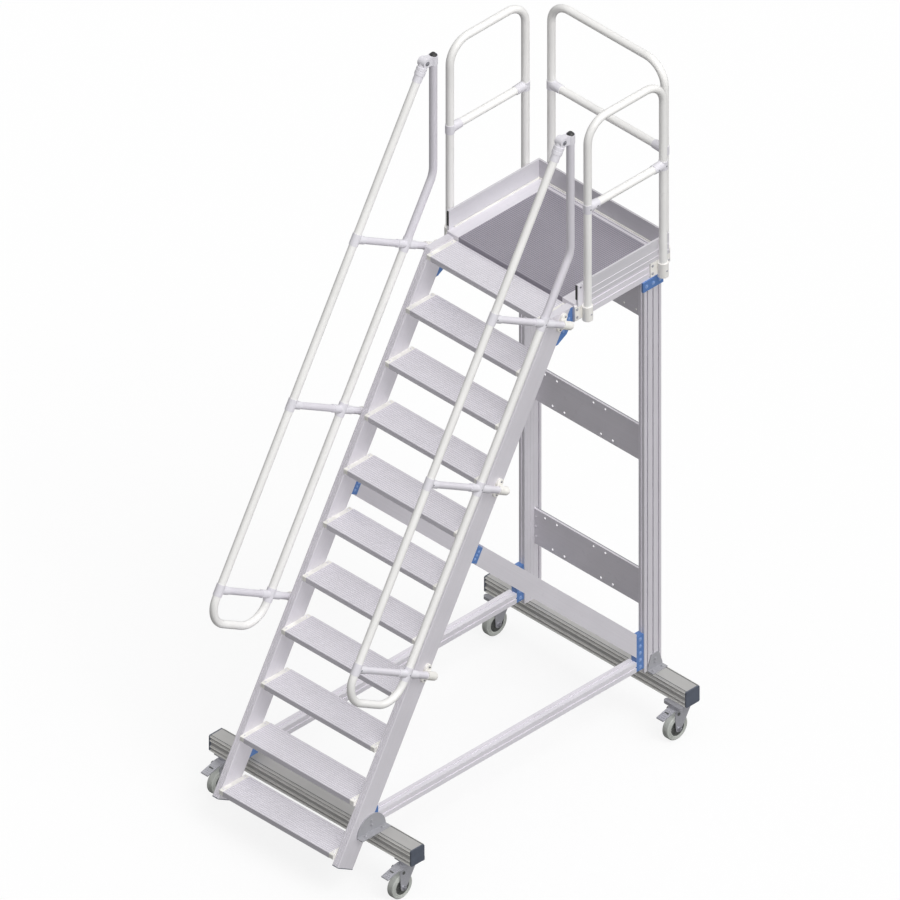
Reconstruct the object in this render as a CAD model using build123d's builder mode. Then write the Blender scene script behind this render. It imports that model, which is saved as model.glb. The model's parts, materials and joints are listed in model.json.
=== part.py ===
"""Mobile platform stairs: an aluminium stair flight and guarded platform on a castored frame."""

import os
from math import cos, radians, sin, tan

from build123d import *

# Frame of the model: X across the stairs, Y towards the platform, Z up from the floor.
# All sizes in millimetres.

# Stair flight
tread_count = 11
tread_rise = 240
stair_angle = 60
tread_depth = 180
tread_clear_width = 760
tread_skin = 4
tread_edge = 28
tread_web_height = 14
tread_cap_width = 26
nosing_overhang = 24
stringer_thickness = 40
stringer_depth = 115
stringer_corner = 4
stringer_groove = 5
stringer_groove_spacing = 16
stringer_foot = -58
stringer_top_drop = 15
stringer_plug = 4

# Base beams and castors
beam_section = 90
beam_length = 1350
beam_corner = 8
beam_slot = 14
beam_middle_slot = 24
beam_slot_depth = 6
beam_slot_spacing = 29
beam_cap = 8
front_beam_setback = 227
castor_height = 204
castor_inset = 73
castor_trail = 48
castor_plate_size = 88
castor_plate_thickness = 6
kingpin_radius = 10
kingpin_length = 18
swivel_gap = 0.3
swivel_radius = 37
swivel_height = 20
fork_arm = 4
fork_clearance = 5.5
fork_eye_radius = 19
fork_cheek_radius = 16
fork_cheek_front = 57
fork_cheek_drop = 14
wheel_radius = 68
wheel_width = 38
wheel_edge = 7
hub_radius = 43
hub_recess = 9
hub_boss_radius = 15
axle_radius = 6
axle_head_radius = 11
axle_head = 5
running_clearance = 0.05
pedal_width = 46
pedal_thickness = 5
pedal_reach = 112
pedal_rise = 3
pedal_shoulder = 20
pedal_drop = 24

# Rear posts, ties, braces and panels
post_width = 40
post_depth = 115
post_setback = 26
post_slot = 8
post_slot_depth = 9
post_slot_spacing = 37
post_over_beam = 24
tie_width = 50
tie_height = 55
tie_lift = 25
tie_slot = 8
tie_slot_depth = 7
tie_rear_gap = 47
tie_front_gap = 34
wedge_head_share = 0.62
tie_shift = 10
brace_shift = 5
bracket_shift = 2.5
bracket_width = 35
brace_width = 40
brace_depth = 96
brace_angle = 45
brace_foot_height = 175
brace_bracket = 45
brace_bracket_length = 83
strip_lift = 26
strip_height = 198
head_bracket = 12
head_bracket_height = 55
head_bracket_front = 20
top_bracket = 20
top_bracket_drop = 175
panel_height = 200
panel_lift = 322
panel_pitch = 831
panel_count = 3
panel_sheet = 3
panel_flange = 15
panel_setback = 52
panel_hole_radius = 6
panel_hole_pair = 79
panel_hole_pitch = 323
panel_hole_margin = 22
panel_hole_start = -306
panel_row_shift = 50
foot_plate = 6
foot_notch_gap = 2
foot_flange = 40
stair_foot_length = 190
stair_foot_front = 118
stair_foot_height = 98
post_foot_length = 98
post_foot_top = 50
post_foot_height = 86
post_foot_skirt = 14

# Platform
platform_depth = 615
deck_step = 25
deck_thickness = 25
platform_half_width = 424
side_beam_width = 78
side_beam_height = 105
side_beam_slot = 8
side_beam_slot_depth = 6
side_beam_slot_spacing = 36
rear_beam_depth = 35
bearer_width = 40
platform_cap = 4
toe_board = 10
toe_board_rise = 106
toe_board_lap = 12
toe_board_front = 13

# Guard hoops, mid rails and their fittings
tube_radius = 20
guard_offset = 36
guard_height = 1030
guard_bend = 120
guard_foot_drop = 96
guard_front_inset = 55
guard_post_spacing = 504
rear_guard_spacing = 756
mid_rail_height = 547
fitting_wall = 2.6
fitting_gap = 0.2
tee_length = 68
tee_flare = 29
tee_sleeve = 48
clamp_wall = 6
clamp_height = 80
clamp_plate = 8
clamp_plate_reach = 55

# Stair handrails
rail_offset = 38
knee_rail_height = 100
hand_rail_height = 488
rail_foot = 790
rail_bend = 125
standoff_radius = 17.5
standoff_places = (959, 1919, 2774)
standoff_end = -108
cross_length = 70
rail_tee_length = 60
standoff_clamp_length = 68
standoff_clamp_width = 52
standoff_clamp_end = -116
rail_post_setback = 58
rail_post_bend = 160
rail_plug = 12
elbow_reach = 66
elbow_sleeve = 92
elbow_ring = 50
elbow_ring_lift = -2
elbow_link = 30
elbow_knuckle_radius = 25
elbow_knuckle_width = 44

# Values that follow from the sizes above
slope_cos = cos(radians(stair_angle))
slope_sin = sin(radians(stair_angle))
tread_run = tread_rise / tan(radians(stair_angle))
front_reach = nosing_overhang + (stringer_foot - stringer_plug) * slope_cos
platform_front_reach = (tread_count - 1) * tread_run + tread_depth
clamp_radius = tube_radius + fitting_gap + clamp_wall
rear_reach = platform_front_reach + platform_depth + guard_offset + clamp_radius

nosing_y = -(front_reach + rear_reach) / 2
flight_y = nosing_y + nosing_overhang
flight_z = tread_rise
platform_front = nosing_y + platform_front_reach
platform_rear = platform_front + platform_depth
deck_top = tread_count * tread_rise + deck_step
platform_bottom = deck_top - side_beam_height

frame_inner = tread_clear_width / 2
frame_outer = frame_inner + stringer_thickness
side_frame_middle = frame_inner + stringer_thickness / 2
beam_top = castor_height + beam_section
front_beam_y = nosing_y + front_beam_setback + beam_section / 2
post_rear = platform_rear - post_setback
post_front = post_rear - post_depth
rear_beam_y = post_front + post_over_beam + beam_section / 2
tie_rear = post_front - tie_rear_gap
tie_bottom = beam_top + tie_lift
tie_top = tie_bottom + tie_height

castor_x = beam_length / 2 - castor_inset
stringer_top = deck_top - stringer_top_drop
rail_x = frame_outer + rail_offset
guard_x = platform_half_width + guard_offset
rear_guard_y = platform_rear + guard_offset
guard_top = deck_top + guard_height
guard_foot = deck_top - guard_foot_drop
guard_front = platform_front + guard_front_inset
guard_back = guard_front + guard_post_spacing
mid_rail_z = deck_top + mid_rail_height
bore_radius = tube_radius + fitting_gap
sleeve_radius = bore_radius + fitting_wall
standoff_bore = standoff_radius + fitting_gap
standoff_sleeve = standoff_bore + fitting_wall

# Sides of the machine and places of the castors: label, sign across, beam that carries it
sides = (("left", -1), ("right", 1))
castors = (
    ("front_left", -1, front_beam_y),
    ("front_right", 1, front_beam_y),
    ("rear_left", -1, rear_beam_y),
    ("rear_right", 1, rear_beam_y),
)


def side_plane(x):
    """Plane across X whose sketch axes are Y and Z."""
    return Plane.YZ.offset(x)


def flight_plane(x):
    """Plane across X whose sketch axes run up the flight and square out of the stringers' front."""
    return Plane((x, flight_y, flight_z), x_dir=(0, slope_cos, slope_sin), z_dir=(1, 0, 0))


def flight_point(along, out):
    """Y and Z of a place up the flight and square out of the stringers' front face."""
    y = flight_y + along * slope_cos - out * slope_sin
    z = flight_z + along * slope_sin + out * slope_cos
    return y, z


def flight_place(x, along, out):
    """Location with its first axis up the flight and its second square out of it."""
    return flight_plane(x).location * Location((along, out, 0))


def stringer_line(out, z):
    """Y of a line that runs with the flight, at the height z."""
    along = (z - flight_z - out * slope_cos) / slope_sin
    return flight_point(along, out)[0]


def save(builder, label):
    """Label a finished piece and write it to the parts folder."""
    builder.part.label = label
    export_step(builder.part, f"parts/{label}.step")


os.makedirs("parts", exist_ok=True)

# Base beams: a square profile with three wide slots along its front and back
for label, beam_y in (("front_beam", front_beam_y), ("rear_beam", rear_beam_y)):
    profile_length = beam_length - 2 * beam_cap
    with BuildPart() as beam:
        with BuildSketch(side_plane(-profile_length / 2)):
            with Locations((beam_y, beam_top - beam_section / 2)):
                RectangleRounded(beam_section, beam_section, beam_corner)
            for face in (-1, 1):
                slot_y = beam_y + face * (beam_section - beam_slot_depth) / 2
                for row, slot in ((-1, beam_slot), (0, beam_middle_slot), (1, beam_slot)):
                    slot_z = beam_top - beam_section / 2 + row * beam_slot_spacing
                    with Locations((slot_y, slot_z)):
                        Rectangle(beam_slot_depth, slot, mode=Mode.SUBTRACT)
        extrude(amount=profile_length)
    save(beam, label)

with BuildPart() as beam_end_caps:
    for beam_y in (front_beam_y, rear_beam_y):
        for label, side in sides:
            with BuildSketch(side_plane(side * (beam_length / 2 - beam_cap))):
                with Locations((beam_y, beam_top - beam_section / 2)):
                    RectangleRounded(beam_section, beam_section, beam_corner)
            extrude(amount=side * beam_cap)
save(beam_end_caps, "beam_end_caps")

# Castors: a plate with its kingpin on the beam, a swivelling fork, a brake pedal and a wheel
plate_bottom = castor_height - castor_plate_thickness
head_top = plate_bottom - swivel_gap
head_bottom = head_top - swivel_height
arm_inner = wheel_width / 2 + fork_clearance
arm_outer = arm_inner + fork_arm

with BuildPart() as castor_plates:
    for label, side, beam_y in castors:
        with BuildSketch(Plane.XY.offset(plate_bottom)):
            with Locations((side * castor_x, beam_y)):
                RectangleRounded(castor_plate_size, castor_plate_size, beam_corner)
        extrude(amount=castor_plate_thickness)
        with BuildSketch(Plane.XY.offset(plate_bottom - kingpin_length)):
            with Locations((side * castor_x, beam_y)):
                Circle(kingpin_radius)
        extrude(amount=kingpin_length)
save(castor_plates, "castor_plates")

for label, side, beam_y in castors:
    axis_x = side * castor_x
    axle_y = beam_y - castor_trail
    with BuildPart() as fork:
        with BuildSketch(Plane.XY.offset(head_bottom)):
            with Locations((axis_x, beam_y)):
                Circle(swivel_radius)
                Circle(kingpin_radius + running_clearance, mode=Mode.SUBTRACT)
        extrude(amount=swivel_height)
        with BuildSketch(Plane.XY.offset(head_bottom - fork_arm)):
            with Locations((axis_x, beam_y)):
                Rectangle(2 * arm_outer, 2 * swivel_radius)
        extrude(amount=fork_arm)
        for arm in (-1, 1):
            with BuildSketch(side_plane(axis_x + arm * arm_inner)):
                with Locations((beam_y, head_bottom - fork_arm)):
                    Rectangle(2 * swivel_radius, fork_arm, align=(Align.CENTER, Align.MIN))
                with Locations((beam_y - fork_cheek_front, head_bottom - fork_arm - fork_cheek_drop)):
                    Circle(fork_cheek_radius)
                with Locations((axle_y, wheel_radius)):
                    Circle(fork_eye_radius)
                make_hull()
            extrude(amount=arm * fork_arm)
            with BuildSketch(side_plane(axis_x + arm * arm_outer)):
                with Locations((axle_y, wheel_radius)):
                    Circle(axle_head_radius)
            extrude(amount=arm * axle_head)
        with BuildSketch(side_plane(axis_x - arm_inner)):
            with Locations((axle_y, wheel_radius)):
                Circle(axle_radius)
        extrude(amount=2 * arm_inner)
    save(fork, f"castor_fork_{label}")

    pedal_back = beam_y - swivel_radius
    shoulder_y = pedal_back - pedal_shoulder
    shoulder_z = head_bottom + pedal_rise
    pedal_tip = pedal_back - pedal_reach
    tip_z = shoulder_z - pedal_drop
    with BuildPart() as pedal:
        with BuildSketch(side_plane(axis_x - pedal_width / 2)):
            with BuildLine():
                Polyline(
                    (pedal_back, head_bottom),
                    (shoulder_y, shoulder_z),
                    (pedal_tip, tip_z),
                    (pedal_tip, tip_z - pedal_thickness),
                    (shoulder_y, shoulder_z - pedal_thickness),
                    (pedal_back, head_bottom - fork_arm),
                    close=True,
                )
            make_face()
        extrude(amount=pedal_width)
    save(pedal, f"castor_pedal_{label}")

    with BuildPart() as tyre:
        with BuildSketch(side_plane(axis_x - wheel_width / 2)):
            with Locations((axle_y, wheel_radius)):
                Circle(wheel_radius)
                Circle(hub_radius + running_clearance, mode=Mode.SUBTRACT)
        extrude(amount=wheel_width)
        rims = tyre.edges().filter_by(GeomType.CIRCLE).group_by(SortBy.RADIUS)[-1]
        fillet(rims, radius=wheel_edge)
    save(tyre, f"castor_tyre_{label}")

    with BuildPart() as hub:
        with BuildSketch(side_plane(axis_x - wheel_width / 2)):
            with Locations((axle_y, wheel_radius)):
                Circle(hub_radius)
        extrude(amount=wheel_width)
        for face in (-1, 1):
            with BuildSketch(side_plane(axis_x + face * wheel_width / 2)):
                with Locations((axle_y, wheel_radius)):
                    Circle(hub_radius - fork_arm)
                    Circle(hub_boss_radius, mode=Mode.SUBTRACT)
            extrude(amount=-face * hub_recess, mode=Mode.SUBTRACT)
        with BuildSketch(side_plane(axis_x - wheel_width / 2)):
            with Locations((axle_y, wheel_radius)):
                Circle(axle_radius + running_clearance)
        extrude(amount=wheel_width, mode=Mode.SUBTRACT)
    save(hub, f"castor_hub_{label}")

# Stringers: a flat profile with two fine grooves on its edges, cut level under the platform
stringer_length = (stringer_top - flight_z + stringer_depth) / slope_sin - stringer_foot

with BuildPart() as stringer_end_plugs:
    for label, side in sides:
        foot_y, foot_z = flight_point(stringer_foot - stringer_plug, 0)
        stringer_x = side * (frame_inner + frame_outer) / 2
        foot_plane = Plane(
            (stringer_x, foot_y, foot_z), x_dir=(1, 0, 0), z_dir=(0, slope_cos, slope_sin)
        )
        with BuildSketch(foot_plane):
            with Locations((0, stringer_depth / 2)):
                RectangleRounded(stringer_thickness, stringer_depth, stringer_corner)
        extrude(amount=stringer_plug)
save(stringer_end_plugs, "stringer_end_plugs")

for label, side in sides:
    foot_y, foot_z = flight_point(stringer_foot, 0)
    stringer_x = side * (frame_inner + frame_outer) / 2
    foot_plane = Plane(
        (stringer_x, foot_y, foot_z), x_dir=(1, 0, 0), z_dir=(0, slope_cos, slope_sin)
    )
    with BuildPart() as stringer:
        with BuildSketch(foot_plane):
            with Locations((0, stringer_depth / 2)):
                RectangleRounded(stringer_thickness, stringer_depth, stringer_corner)
            for row in (-1, 1):
                for edge_y in (0, stringer_depth):
                    with Locations((row * stringer_groove_spacing / 2, edge_y)):
                        Rectangle(stringer_groove, 2 * stringer_groove, mode=Mode.SUBTRACT)
        extrude(amount=stringer_length)
        split(bisect_by=Plane.XY.offset(stringer_top), keep=Keep.BOTTOM)
    save(stringer, f"stringer_{label}")

# Treads: thin open profiles with a lip front and back, a web between, and a cap at each end
tread_half = tread_clear_width / 2 - tread_cap_width

with BuildPart() as treads:
    for step in range(tread_count):
        top = tread_rise * (step + 1)
        front = nosing_y + tread_run * step
        with BuildSketch(side_plane(-tread_half)):
            with Locations((front + tread_depth / 2, top)):
                Rectangle(tread_depth, tread_skin, align=(Align.CENTER, Align.MAX))
                for lip in (-1, 1):
                    with Locations((lip * (tread_depth - tread_skin) / 2, 0)):
                        Rectangle(tread_skin, tread_edge, align=(Align.CENTER, Align.MAX))
                for web in (-1, 1):
                    with Locations((web * tread_depth / 6, 0)):
                        Rectangle(tread_skin, tread_web_height, align=(Align.CENTER, Align.MAX))
        extrude(amount=2 * tread_half)
save(treads, "treads")

with BuildPart() as tread_end_caps:
    for step in range(tread_count):
        top = tread_rise * (step + 1)
        front = nosing_y + tread_run * step
        for label, side in sides:
            with BuildSketch(side_plane(side * tread_half)):
                with Locations((front + tread_depth / 2, top - tread_edge / 2)):
                    RectangleRounded(tread_depth, tread_edge, tread_skin)
            extrude(amount=side * tread_cap_width)
save(tread_end_caps, "tread_end_caps")

# Platform: side beams, rear beam, bearers under the deck, the deck and its toe boards
side_beam_inner = platform_half_width - side_beam_width

for label, side in sides:
    with BuildPart() as side_beam:
        with BuildSketch(Plane.XZ.offset(-(platform_front + platform_cap))):
            beam_x = side * (platform_half_width - side_beam_width / 2)
            with Locations((beam_x, deck_top - side_beam_height / 2)):
                Rectangle(side_beam_width, side_beam_height)
            slot_x = side * (platform_half_width - side_beam_slot_depth / 2)
            for row in (-1, 1):
                slot_z = deck_top - side_beam_height / 2 + row * side_beam_slot_spacing / 2
                with Locations((slot_x, slot_z)):
                    Rectangle(side_beam_slot_depth, side_beam_slot, mode=Mode.SUBTRACT)
        extrude(amount=-(platform_depth - platform_cap))
    save(side_beam, f"platform_beam_{label}")

with BuildPart() as platform_end_caps:
    for label, side in sides:
        beam_x = side * (platform_half_width - side_beam_width / 2)
        with BuildSketch(Plane.XZ.offset(-platform_front)):
            with Locations((beam_x, deck_top - side_beam_height / 2)):
                Rectangle(side_beam_width, side_beam_height)
        extrude(amount=-platform_cap)
save(platform_end_caps, "platform_end_caps")

with BuildPart() as platform_beam_rear:
    with BuildSketch(side_plane(-side_beam_inner)):
        with Locations((platform_rear - rear_beam_depth / 2, deck_top - side_beam_height / 2)):
            Rectangle(rear_beam_depth, side_beam_height)
        with Locations((platform_rear - rear_beam_depth / 2, deck_top)):
            Rectangle(side_beam_slot, 2 * side_beam_slot_depth, mode=Mode.SUBTRACT)
    extrude(amount=2 * side_beam_inner)
save(platform_beam_rear, "platform_beam_rear")

deck_rear = platform_rear - rear_beam_depth
deck_bottom = deck_top - deck_thickness
bearer_height = deck_bottom - platform_bottom

with BuildPart() as platform_bearers:
    for bearer_y in (platform_front, (platform_front + deck_rear - bearer_width) / 2):
        with Locations((0, bearer_y, platform_bottom)):
            Box(2 * side_beam_inner, bearer_width, bearer_height, align=(Align.CENTER, Align.MIN, Align.MIN))
save(platform_bearers, "platform_bearers")

with BuildPart() as platform_deck:
    with Locations((0, platform_front, deck_bottom)):
        Box(
            2 * side_beam_inner,
            deck_rear - platform_front,
            deck_thickness,
            align=(Align.CENTER, Align.MIN, Align.MIN),
        )
save(platform_deck, "platform_deck")

toe_bottom = deck_top - toe_board_lap
toe_height = toe_board_rise + toe_board_lap

for label, side in sides:
    toe_front = platform_front + toe_board_front
    with BuildPart() as toe_board_side:
        with Locations((side * (platform_half_width + toe_board / 2), toe_front, toe_bottom)):
            Box(
                toe_board,
                platform_rear + toe_board - toe_front,
                toe_height,
                align=(Align.CENTER, Align.MIN, Align.MIN),
            )
    save(toe_board_side, f"toe_board_{label}")

with BuildPart() as toe_board_rear:
    with Locations((0, platform_rear, toe_bottom)):
        Box(
            2 * platform_half_width,
            toe_board,
            toe_height,
            align=(Align.CENTER, Align.MIN, Align.MIN),
        )
save(toe_board_rear, "toe_board_rear")

# Guard hoops: one bent tube on each side of the platform and one behind it
for label, side in sides:
    with BuildPart() as hoop:
        with BuildLine(side_plane(side * guard_x)) as hoop_line:
            FilletPolyline(
                (guard_front, guard_foot),
                (guard_front, guard_top),
                (guard_back, guard_top),
                (guard_back, guard_foot),
                radius=guard_bend,
            )
        with BuildSketch(Plane((side * guard_x, guard_front, guard_foot))):
            Circle(tube_radius)
        sweep(path=hoop_line.wire())
    save(hoop, f"guard_hoop_{label}")

rear_post_x = rear_guard_spacing / 2

with BuildPart() as guard_hoop_rear:
    with BuildLine(Plane.XZ.offset(-rear_guard_y)) as rear_hoop_line:
        FilletPolyline(
            (-rear_post_x, guard_foot),
            (-rear_post_x, guard_top),
            (rear_post_x, guard_top),
            (rear_post_x, guard_foot),
            radius=guard_bend,
        )
    with BuildSketch(Plane((-rear_post_x, rear_guard_y, guard_foot))):
        Circle(tube_radius)
    sweep(path=rear_hoop_line.wire())
save(guard_hoop_rear, "guard_hoop_rear")

# Guard posts: place across, place along, and the direction in which its mid rail runs
guard_posts = (
    (-guard_x, guard_front, (0, 1, 0)),
    (-guard_x, guard_back, (0, -1, 0)),
    (guard_x, guard_front, (0, 1, 0)),
    (guard_x, guard_back, (0, -1, 0)),
    (-rear_post_x, rear_guard_y, (1, 0, 0)),
    (rear_post_x, rear_guard_y, (-1, 0, 0)),
)
rail_end_gap = tube_radius + 2 * fitting_gap

with BuildPart() as guard_mid_rails:
    for label, side in sides:
        with BuildSketch(Plane.XZ.offset(-(guard_front + rail_end_gap))):
            with Locations((side * guard_x, mid_rail_z)):
                Circle(tube_radius)
        extrude(amount=-(guard_post_spacing - 2 * rail_end_gap))
    with BuildSketch(side_plane(-(rear_post_x - rail_end_gap))):
        with Locations((rear_guard_y, mid_rail_z)):
            Circle(tube_radius)
    extrude(amount=2 * (rear_post_x - rail_end_gap))
save(guard_mid_rails, "guard_mid_rails")

with BuildPart() as guard_tees:
    for post_x, post_y, run in guard_posts:
        across = Vector(*run).cross(Vector(0, 0, 1))
        flare_plane = Plane((post_x, post_y, mid_rail_z), x_dir=across, z_dir=run)
        with BuildSketch(flare_plane):
            Ellipse(sleeve_radius - fitting_wall / 4, tee_flare)
        with BuildSketch(flare_plane.offset(tee_length)):
            Circle(sleeve_radius)
        loft()
        with Locations((post_x, post_y, mid_rail_z)):
            Cylinder(sleeve_radius, tee_sleeve)
    for post_x, post_y, run in guard_posts:
        with Locations((post_x, post_y, mid_rail_z)):
            Cylinder(bore_radius, 4 * tee_flare, mode=Mode.SUBTRACT)
        with BuildSketch(Plane((post_x, post_y, mid_rail_z), z_dir=run)):
            Circle(bore_radius)
        extrude(amount=2 * tee_length, mode=Mode.SUBTRACT)
save(guard_tees, "guard_tees")

# Foot clamps of the guard posts: place across, place along, the way out from the platform, and
# the hand on which the longer half of the plate lies
clamp_places = (
    (-guard_x, guard_front, (-1, 0, 0), 1),
    (-guard_x, guard_back, (-1, 0, 0), 1),
    (guard_x, guard_front, (1, 0, 0), -1),
    (guard_x, guard_back, (1, 0, 0), -1),
    (-rear_post_x, rear_guard_y, (0, 1, 0), -1),
    (rear_post_x, rear_guard_y, (0, 1, 0), 1),
)

with BuildPart() as guard_clamps:
    for post_x, post_y, outward, hand in clamp_places:
        clamp_plane = Plane((post_x, post_y, guard_foot), x_dir=outward, z_dir=(0, 0, 1))
        plate_middle = hand * (clamp_plate_reach - clamp_radius) / 2
        with BuildSketch(clamp_plane):
            Circle(clamp_radius)
            with Locations((-guard_offset, 0)):
                Rectangle(guard_offset, 2 * clamp_wall, align=(Align.MIN, Align.CENTER))
            with Locations((-guard_offset, plate_middle)):
                plate_length = clamp_plate_reach + clamp_radius
                Rectangle(clamp_plate, plate_length, align=(Align.MIN, Align.CENTER))
            Circle(bore_radius, mode=Mode.SUBTRACT)
        extrude(amount=clamp_height)
save(guard_clamps, "guard_clamps")

# Stair handrails: hand rail and knee rail are one tube, bent round at its lower end
rail_post_y = platform_front - rail_post_setback
rail_end = (rail_post_y - elbow_reach - flight_y + hand_rail_height * slope_sin) / slope_cos
rail_end_z = flight_point(rail_end, hand_rail_height)[1]
rail_post_top = rail_end_z + elbow_ring_lift + elbow_ring / 2
last_standoff = standoff_places[-1]
knee_bend_y = rail_post_y
knee_bend_along = (knee_bend_y - flight_y + knee_rail_height * slope_sin) / slope_cos
knee_bend_z = flight_point(knee_bend_along, knee_rail_height)[1]

for label, side in sides:
    with BuildPart() as handrail:
        with BuildLine(flight_plane(side * rail_x)) as rail_line:
            FilletPolyline(
                (rail_end, hand_rail_height),
                (rail_foot, hand_rail_height),
                (rail_foot, knee_rail_height),
                (last_standoff - fitting_gap, knee_rail_height),
                radius=rail_bend,
            )
        end_y, end_z = flight_point(rail_end, hand_rail_height)
        with BuildSketch(Plane((side * rail_x, end_y, end_z), z_dir=(0, -slope_cos, -slope_sin))):
            Circle(tube_radius)
        sweep(path=rail_line.wire())
    save(handrail, f"handrail_{label}")

    with BuildPart() as rail_post:
        start_y, start_z = flight_point(last_standoff + fitting_gap, knee_rail_height)
        with BuildLine(side_plane(side * rail_x)) as post_line:
            FilletPolyline(
                (start_y, start_z),
                (knee_bend_y, knee_bend_z),
                (rail_post_y, rail_post_top),
                radius=rail_post_bend,
            )
        with BuildSketch(Plane((side * rail_x, start_y, start_z), z_dir=(0, slope_cos, slope_sin))):
            Circle(tube_radius)
        sweep(path=post_line.wire())
    save(rail_post, f"handrail_post_{label}")

with BuildPart() as handrail_plugs:
    for label, side in sides:
        with Locations((side * rail_x, rail_post_y, rail_post_top)):
            Cone(tube_radius, tube_radius / 2, rail_plug, align=(Align.CENTER, Align.CENTER, Align.MIN))
save(handrail_plugs, "handrail_plugs")

# Standoffs: an upper tube from hand rail to knee rail and a lower one on to the stringer's clamp
rail_clear = tube_radius + 2 * fitting_gap
upper_start = knee_rail_height + rail_clear
upper_end = hand_rail_height - rail_clear
lower_start = standoff_end
lower_end = knee_rail_height - rail_clear

with BuildPart() as handrail_standoffs:
    for label, side in sides:
        for along in standoff_places:
            for start, end in ((upper_start, upper_end), (lower_start, lower_end)):
                with Locations(flight_place(side * rail_x, along, (start + end) / 2)):
                    Cylinder(standoff_radius, end - start, rotation=(90, 0, 0))
save(handrail_standoffs, "handrail_standoffs")

with BuildPart() as handrail_fittings:
    for label, side in sides:
        for along in standoff_places:
            with Locations(flight_place(side * rail_x, along, knee_rail_height)):
                Cylinder(sleeve_radius, cross_length, rotation=(0, 90, 0))
                Cylinder(standoff_sleeve, 2 * cross_length, rotation=(90, 0, 0))
            with Locations(flight_place(side * rail_x, along, hand_rail_height)):
                Cylinder(sleeve_radius, rail_tee_length, rotation=(0, 90, 0))
            with Locations(flight_place(side * rail_x, along, hand_rail_height - rail_tee_length / 2)):
                Cylinder(standoff_sleeve, rail_tee_length, rotation=(90, 0, 0))
    for label, side in sides:
        for along in standoff_places:
            for out in (knee_rail_height, hand_rail_height):
                with Locations(flight_place(side * rail_x, along, out)):
                    Cylinder(bore_radius, 2 * cross_length, rotation=(0, 90, 0), mode=Mode.SUBTRACT)
            middle = (standoff_end + hand_rail_height) / 2
            with Locations(flight_place(side * rail_x, along, middle)):
                Cylinder(
                    standoff_bore,
                    hand_rail_height - standoff_end,
                    rotation=(90, 0, 0),
                    mode=Mode.SUBTRACT,
                )
save(handrail_fittings, "handrail_fittings")

clamp_outer = rail_offset + standoff_bore + clamp_wall

with BuildPart() as standoff_clamps:
    for label, side in sides:
        for along in standoff_places:
            middle = standoff_clamp_end + standoff_clamp_length / 2
            with Locations(flight_place(side * (frame_outer + clamp_outer / 2), along, middle)):
                Box(standoff_clamp_width, standoff_clamp_length, clamp_outer)
    fillet(standoff_clamps.edges(), radius=fitting_wall)
    for label, side in sides:
        for along in standoff_places:
            middle = standoff_end - fitting_gap + standoff_clamp_length
            with Locations(flight_place(side * rail_x, along, middle)):
                Cylinder(
                    standoff_bore, 2 * standoff_clamp_length, rotation=(90, 0, 0), mode=Mode.SUBTRACT
                )
save(standoff_clamps, "standoff_clamps")

# Elbows: a sleeve on the hand rail's upper end, a knuckle and a ring round the handrail post
with BuildPart() as handrail_elbows:
    for label, side in sides:
        ring_z = rail_end_z + elbow_ring_lift
        sleeve_middle = rail_end - elbow_sleeve / 2 + fitting_wall
        with Locations(flight_place(side * rail_x, sleeve_middle, hand_rail_height)):
            Cylinder(sleeve_radius, elbow_sleeve, rotation=(0, 90, 0))
        with Locations((side * rail_x, rail_post_y, ring_z)):
            Cylinder(sleeve_radius, elbow_ring)
        knuckle_y, knuckle_z = flight_point(rail_end + elbow_knuckle_radius / 2, hand_rail_height)
        with BuildSketch(side_plane(side * rail_x)):
            with Locations((knuckle_y, knuckle_z)):
                Circle(elbow_knuckle_radius)
        extrude(amount=elbow_knuckle_width / 2, both=True)
        with BuildSketch(side_plane(side * rail_x)):
            with BuildLine():
                Polyline(
                    (knuckle_y, knuckle_z + elbow_knuckle_radius),
                    (rail_post_y, ring_z + elbow_ring / 2),
                    (rail_post_y, ring_z - elbow_ring / 2),
                    (knuckle_y, knuckle_z - elbow_knuckle_radius),
                    close=True,
                )
            make_face()
        extrude(amount=elbow_link / 2, both=True)
    for label, side in sides:
        with Locations((side * rail_x, rail_post_y, rail_end_z)):
            Cylinder(bore_radius, 4 * elbow_ring, mode=Mode.SUBTRACT)
        with Locations(flight_place(side * rail_x, rail_end - elbow_sleeve + fitting_gap, hand_rail_height)):
            Cylinder(bore_radius, 2 * elbow_sleeve, rotation=(0, 90, 0), mode=Mode.SUBTRACT)
save(handrail_elbows, "handrail_elbows")

# Rear posts: a flat profile with three slots on each broad face and one on each narrow face
for label, side in sides:
    post_x = side * (frame_inner + post_width / 2)
    post_y = (post_front + post_rear) / 2
    with BuildPart() as post:
        with BuildSketch(Plane.XY.offset(beam_top)):
            with Locations((post_x, post_y)):
                RectangleRounded(post_width, post_depth, stringer_corner)
            for face in (-1, 1):
                slot_x = post_x + face * (post_width - post_slot_depth) / 2
                for row in (-1, 0, 1):
                    with Locations((slot_x, post_y + row * post_slot_spacing)):
                        Rectangle(post_slot_depth, post_slot, mode=Mode.SUBTRACT)
                with Locations((post_x, post_y + face * (post_depth - post_slot_depth) / 2)):
                    Rectangle(post_slot, post_slot_depth, mode=Mode.SUBTRACT)
        extrude(amount=platform_bottom - beam_top)
    save(post, f"rear_post_{label}")

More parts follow.
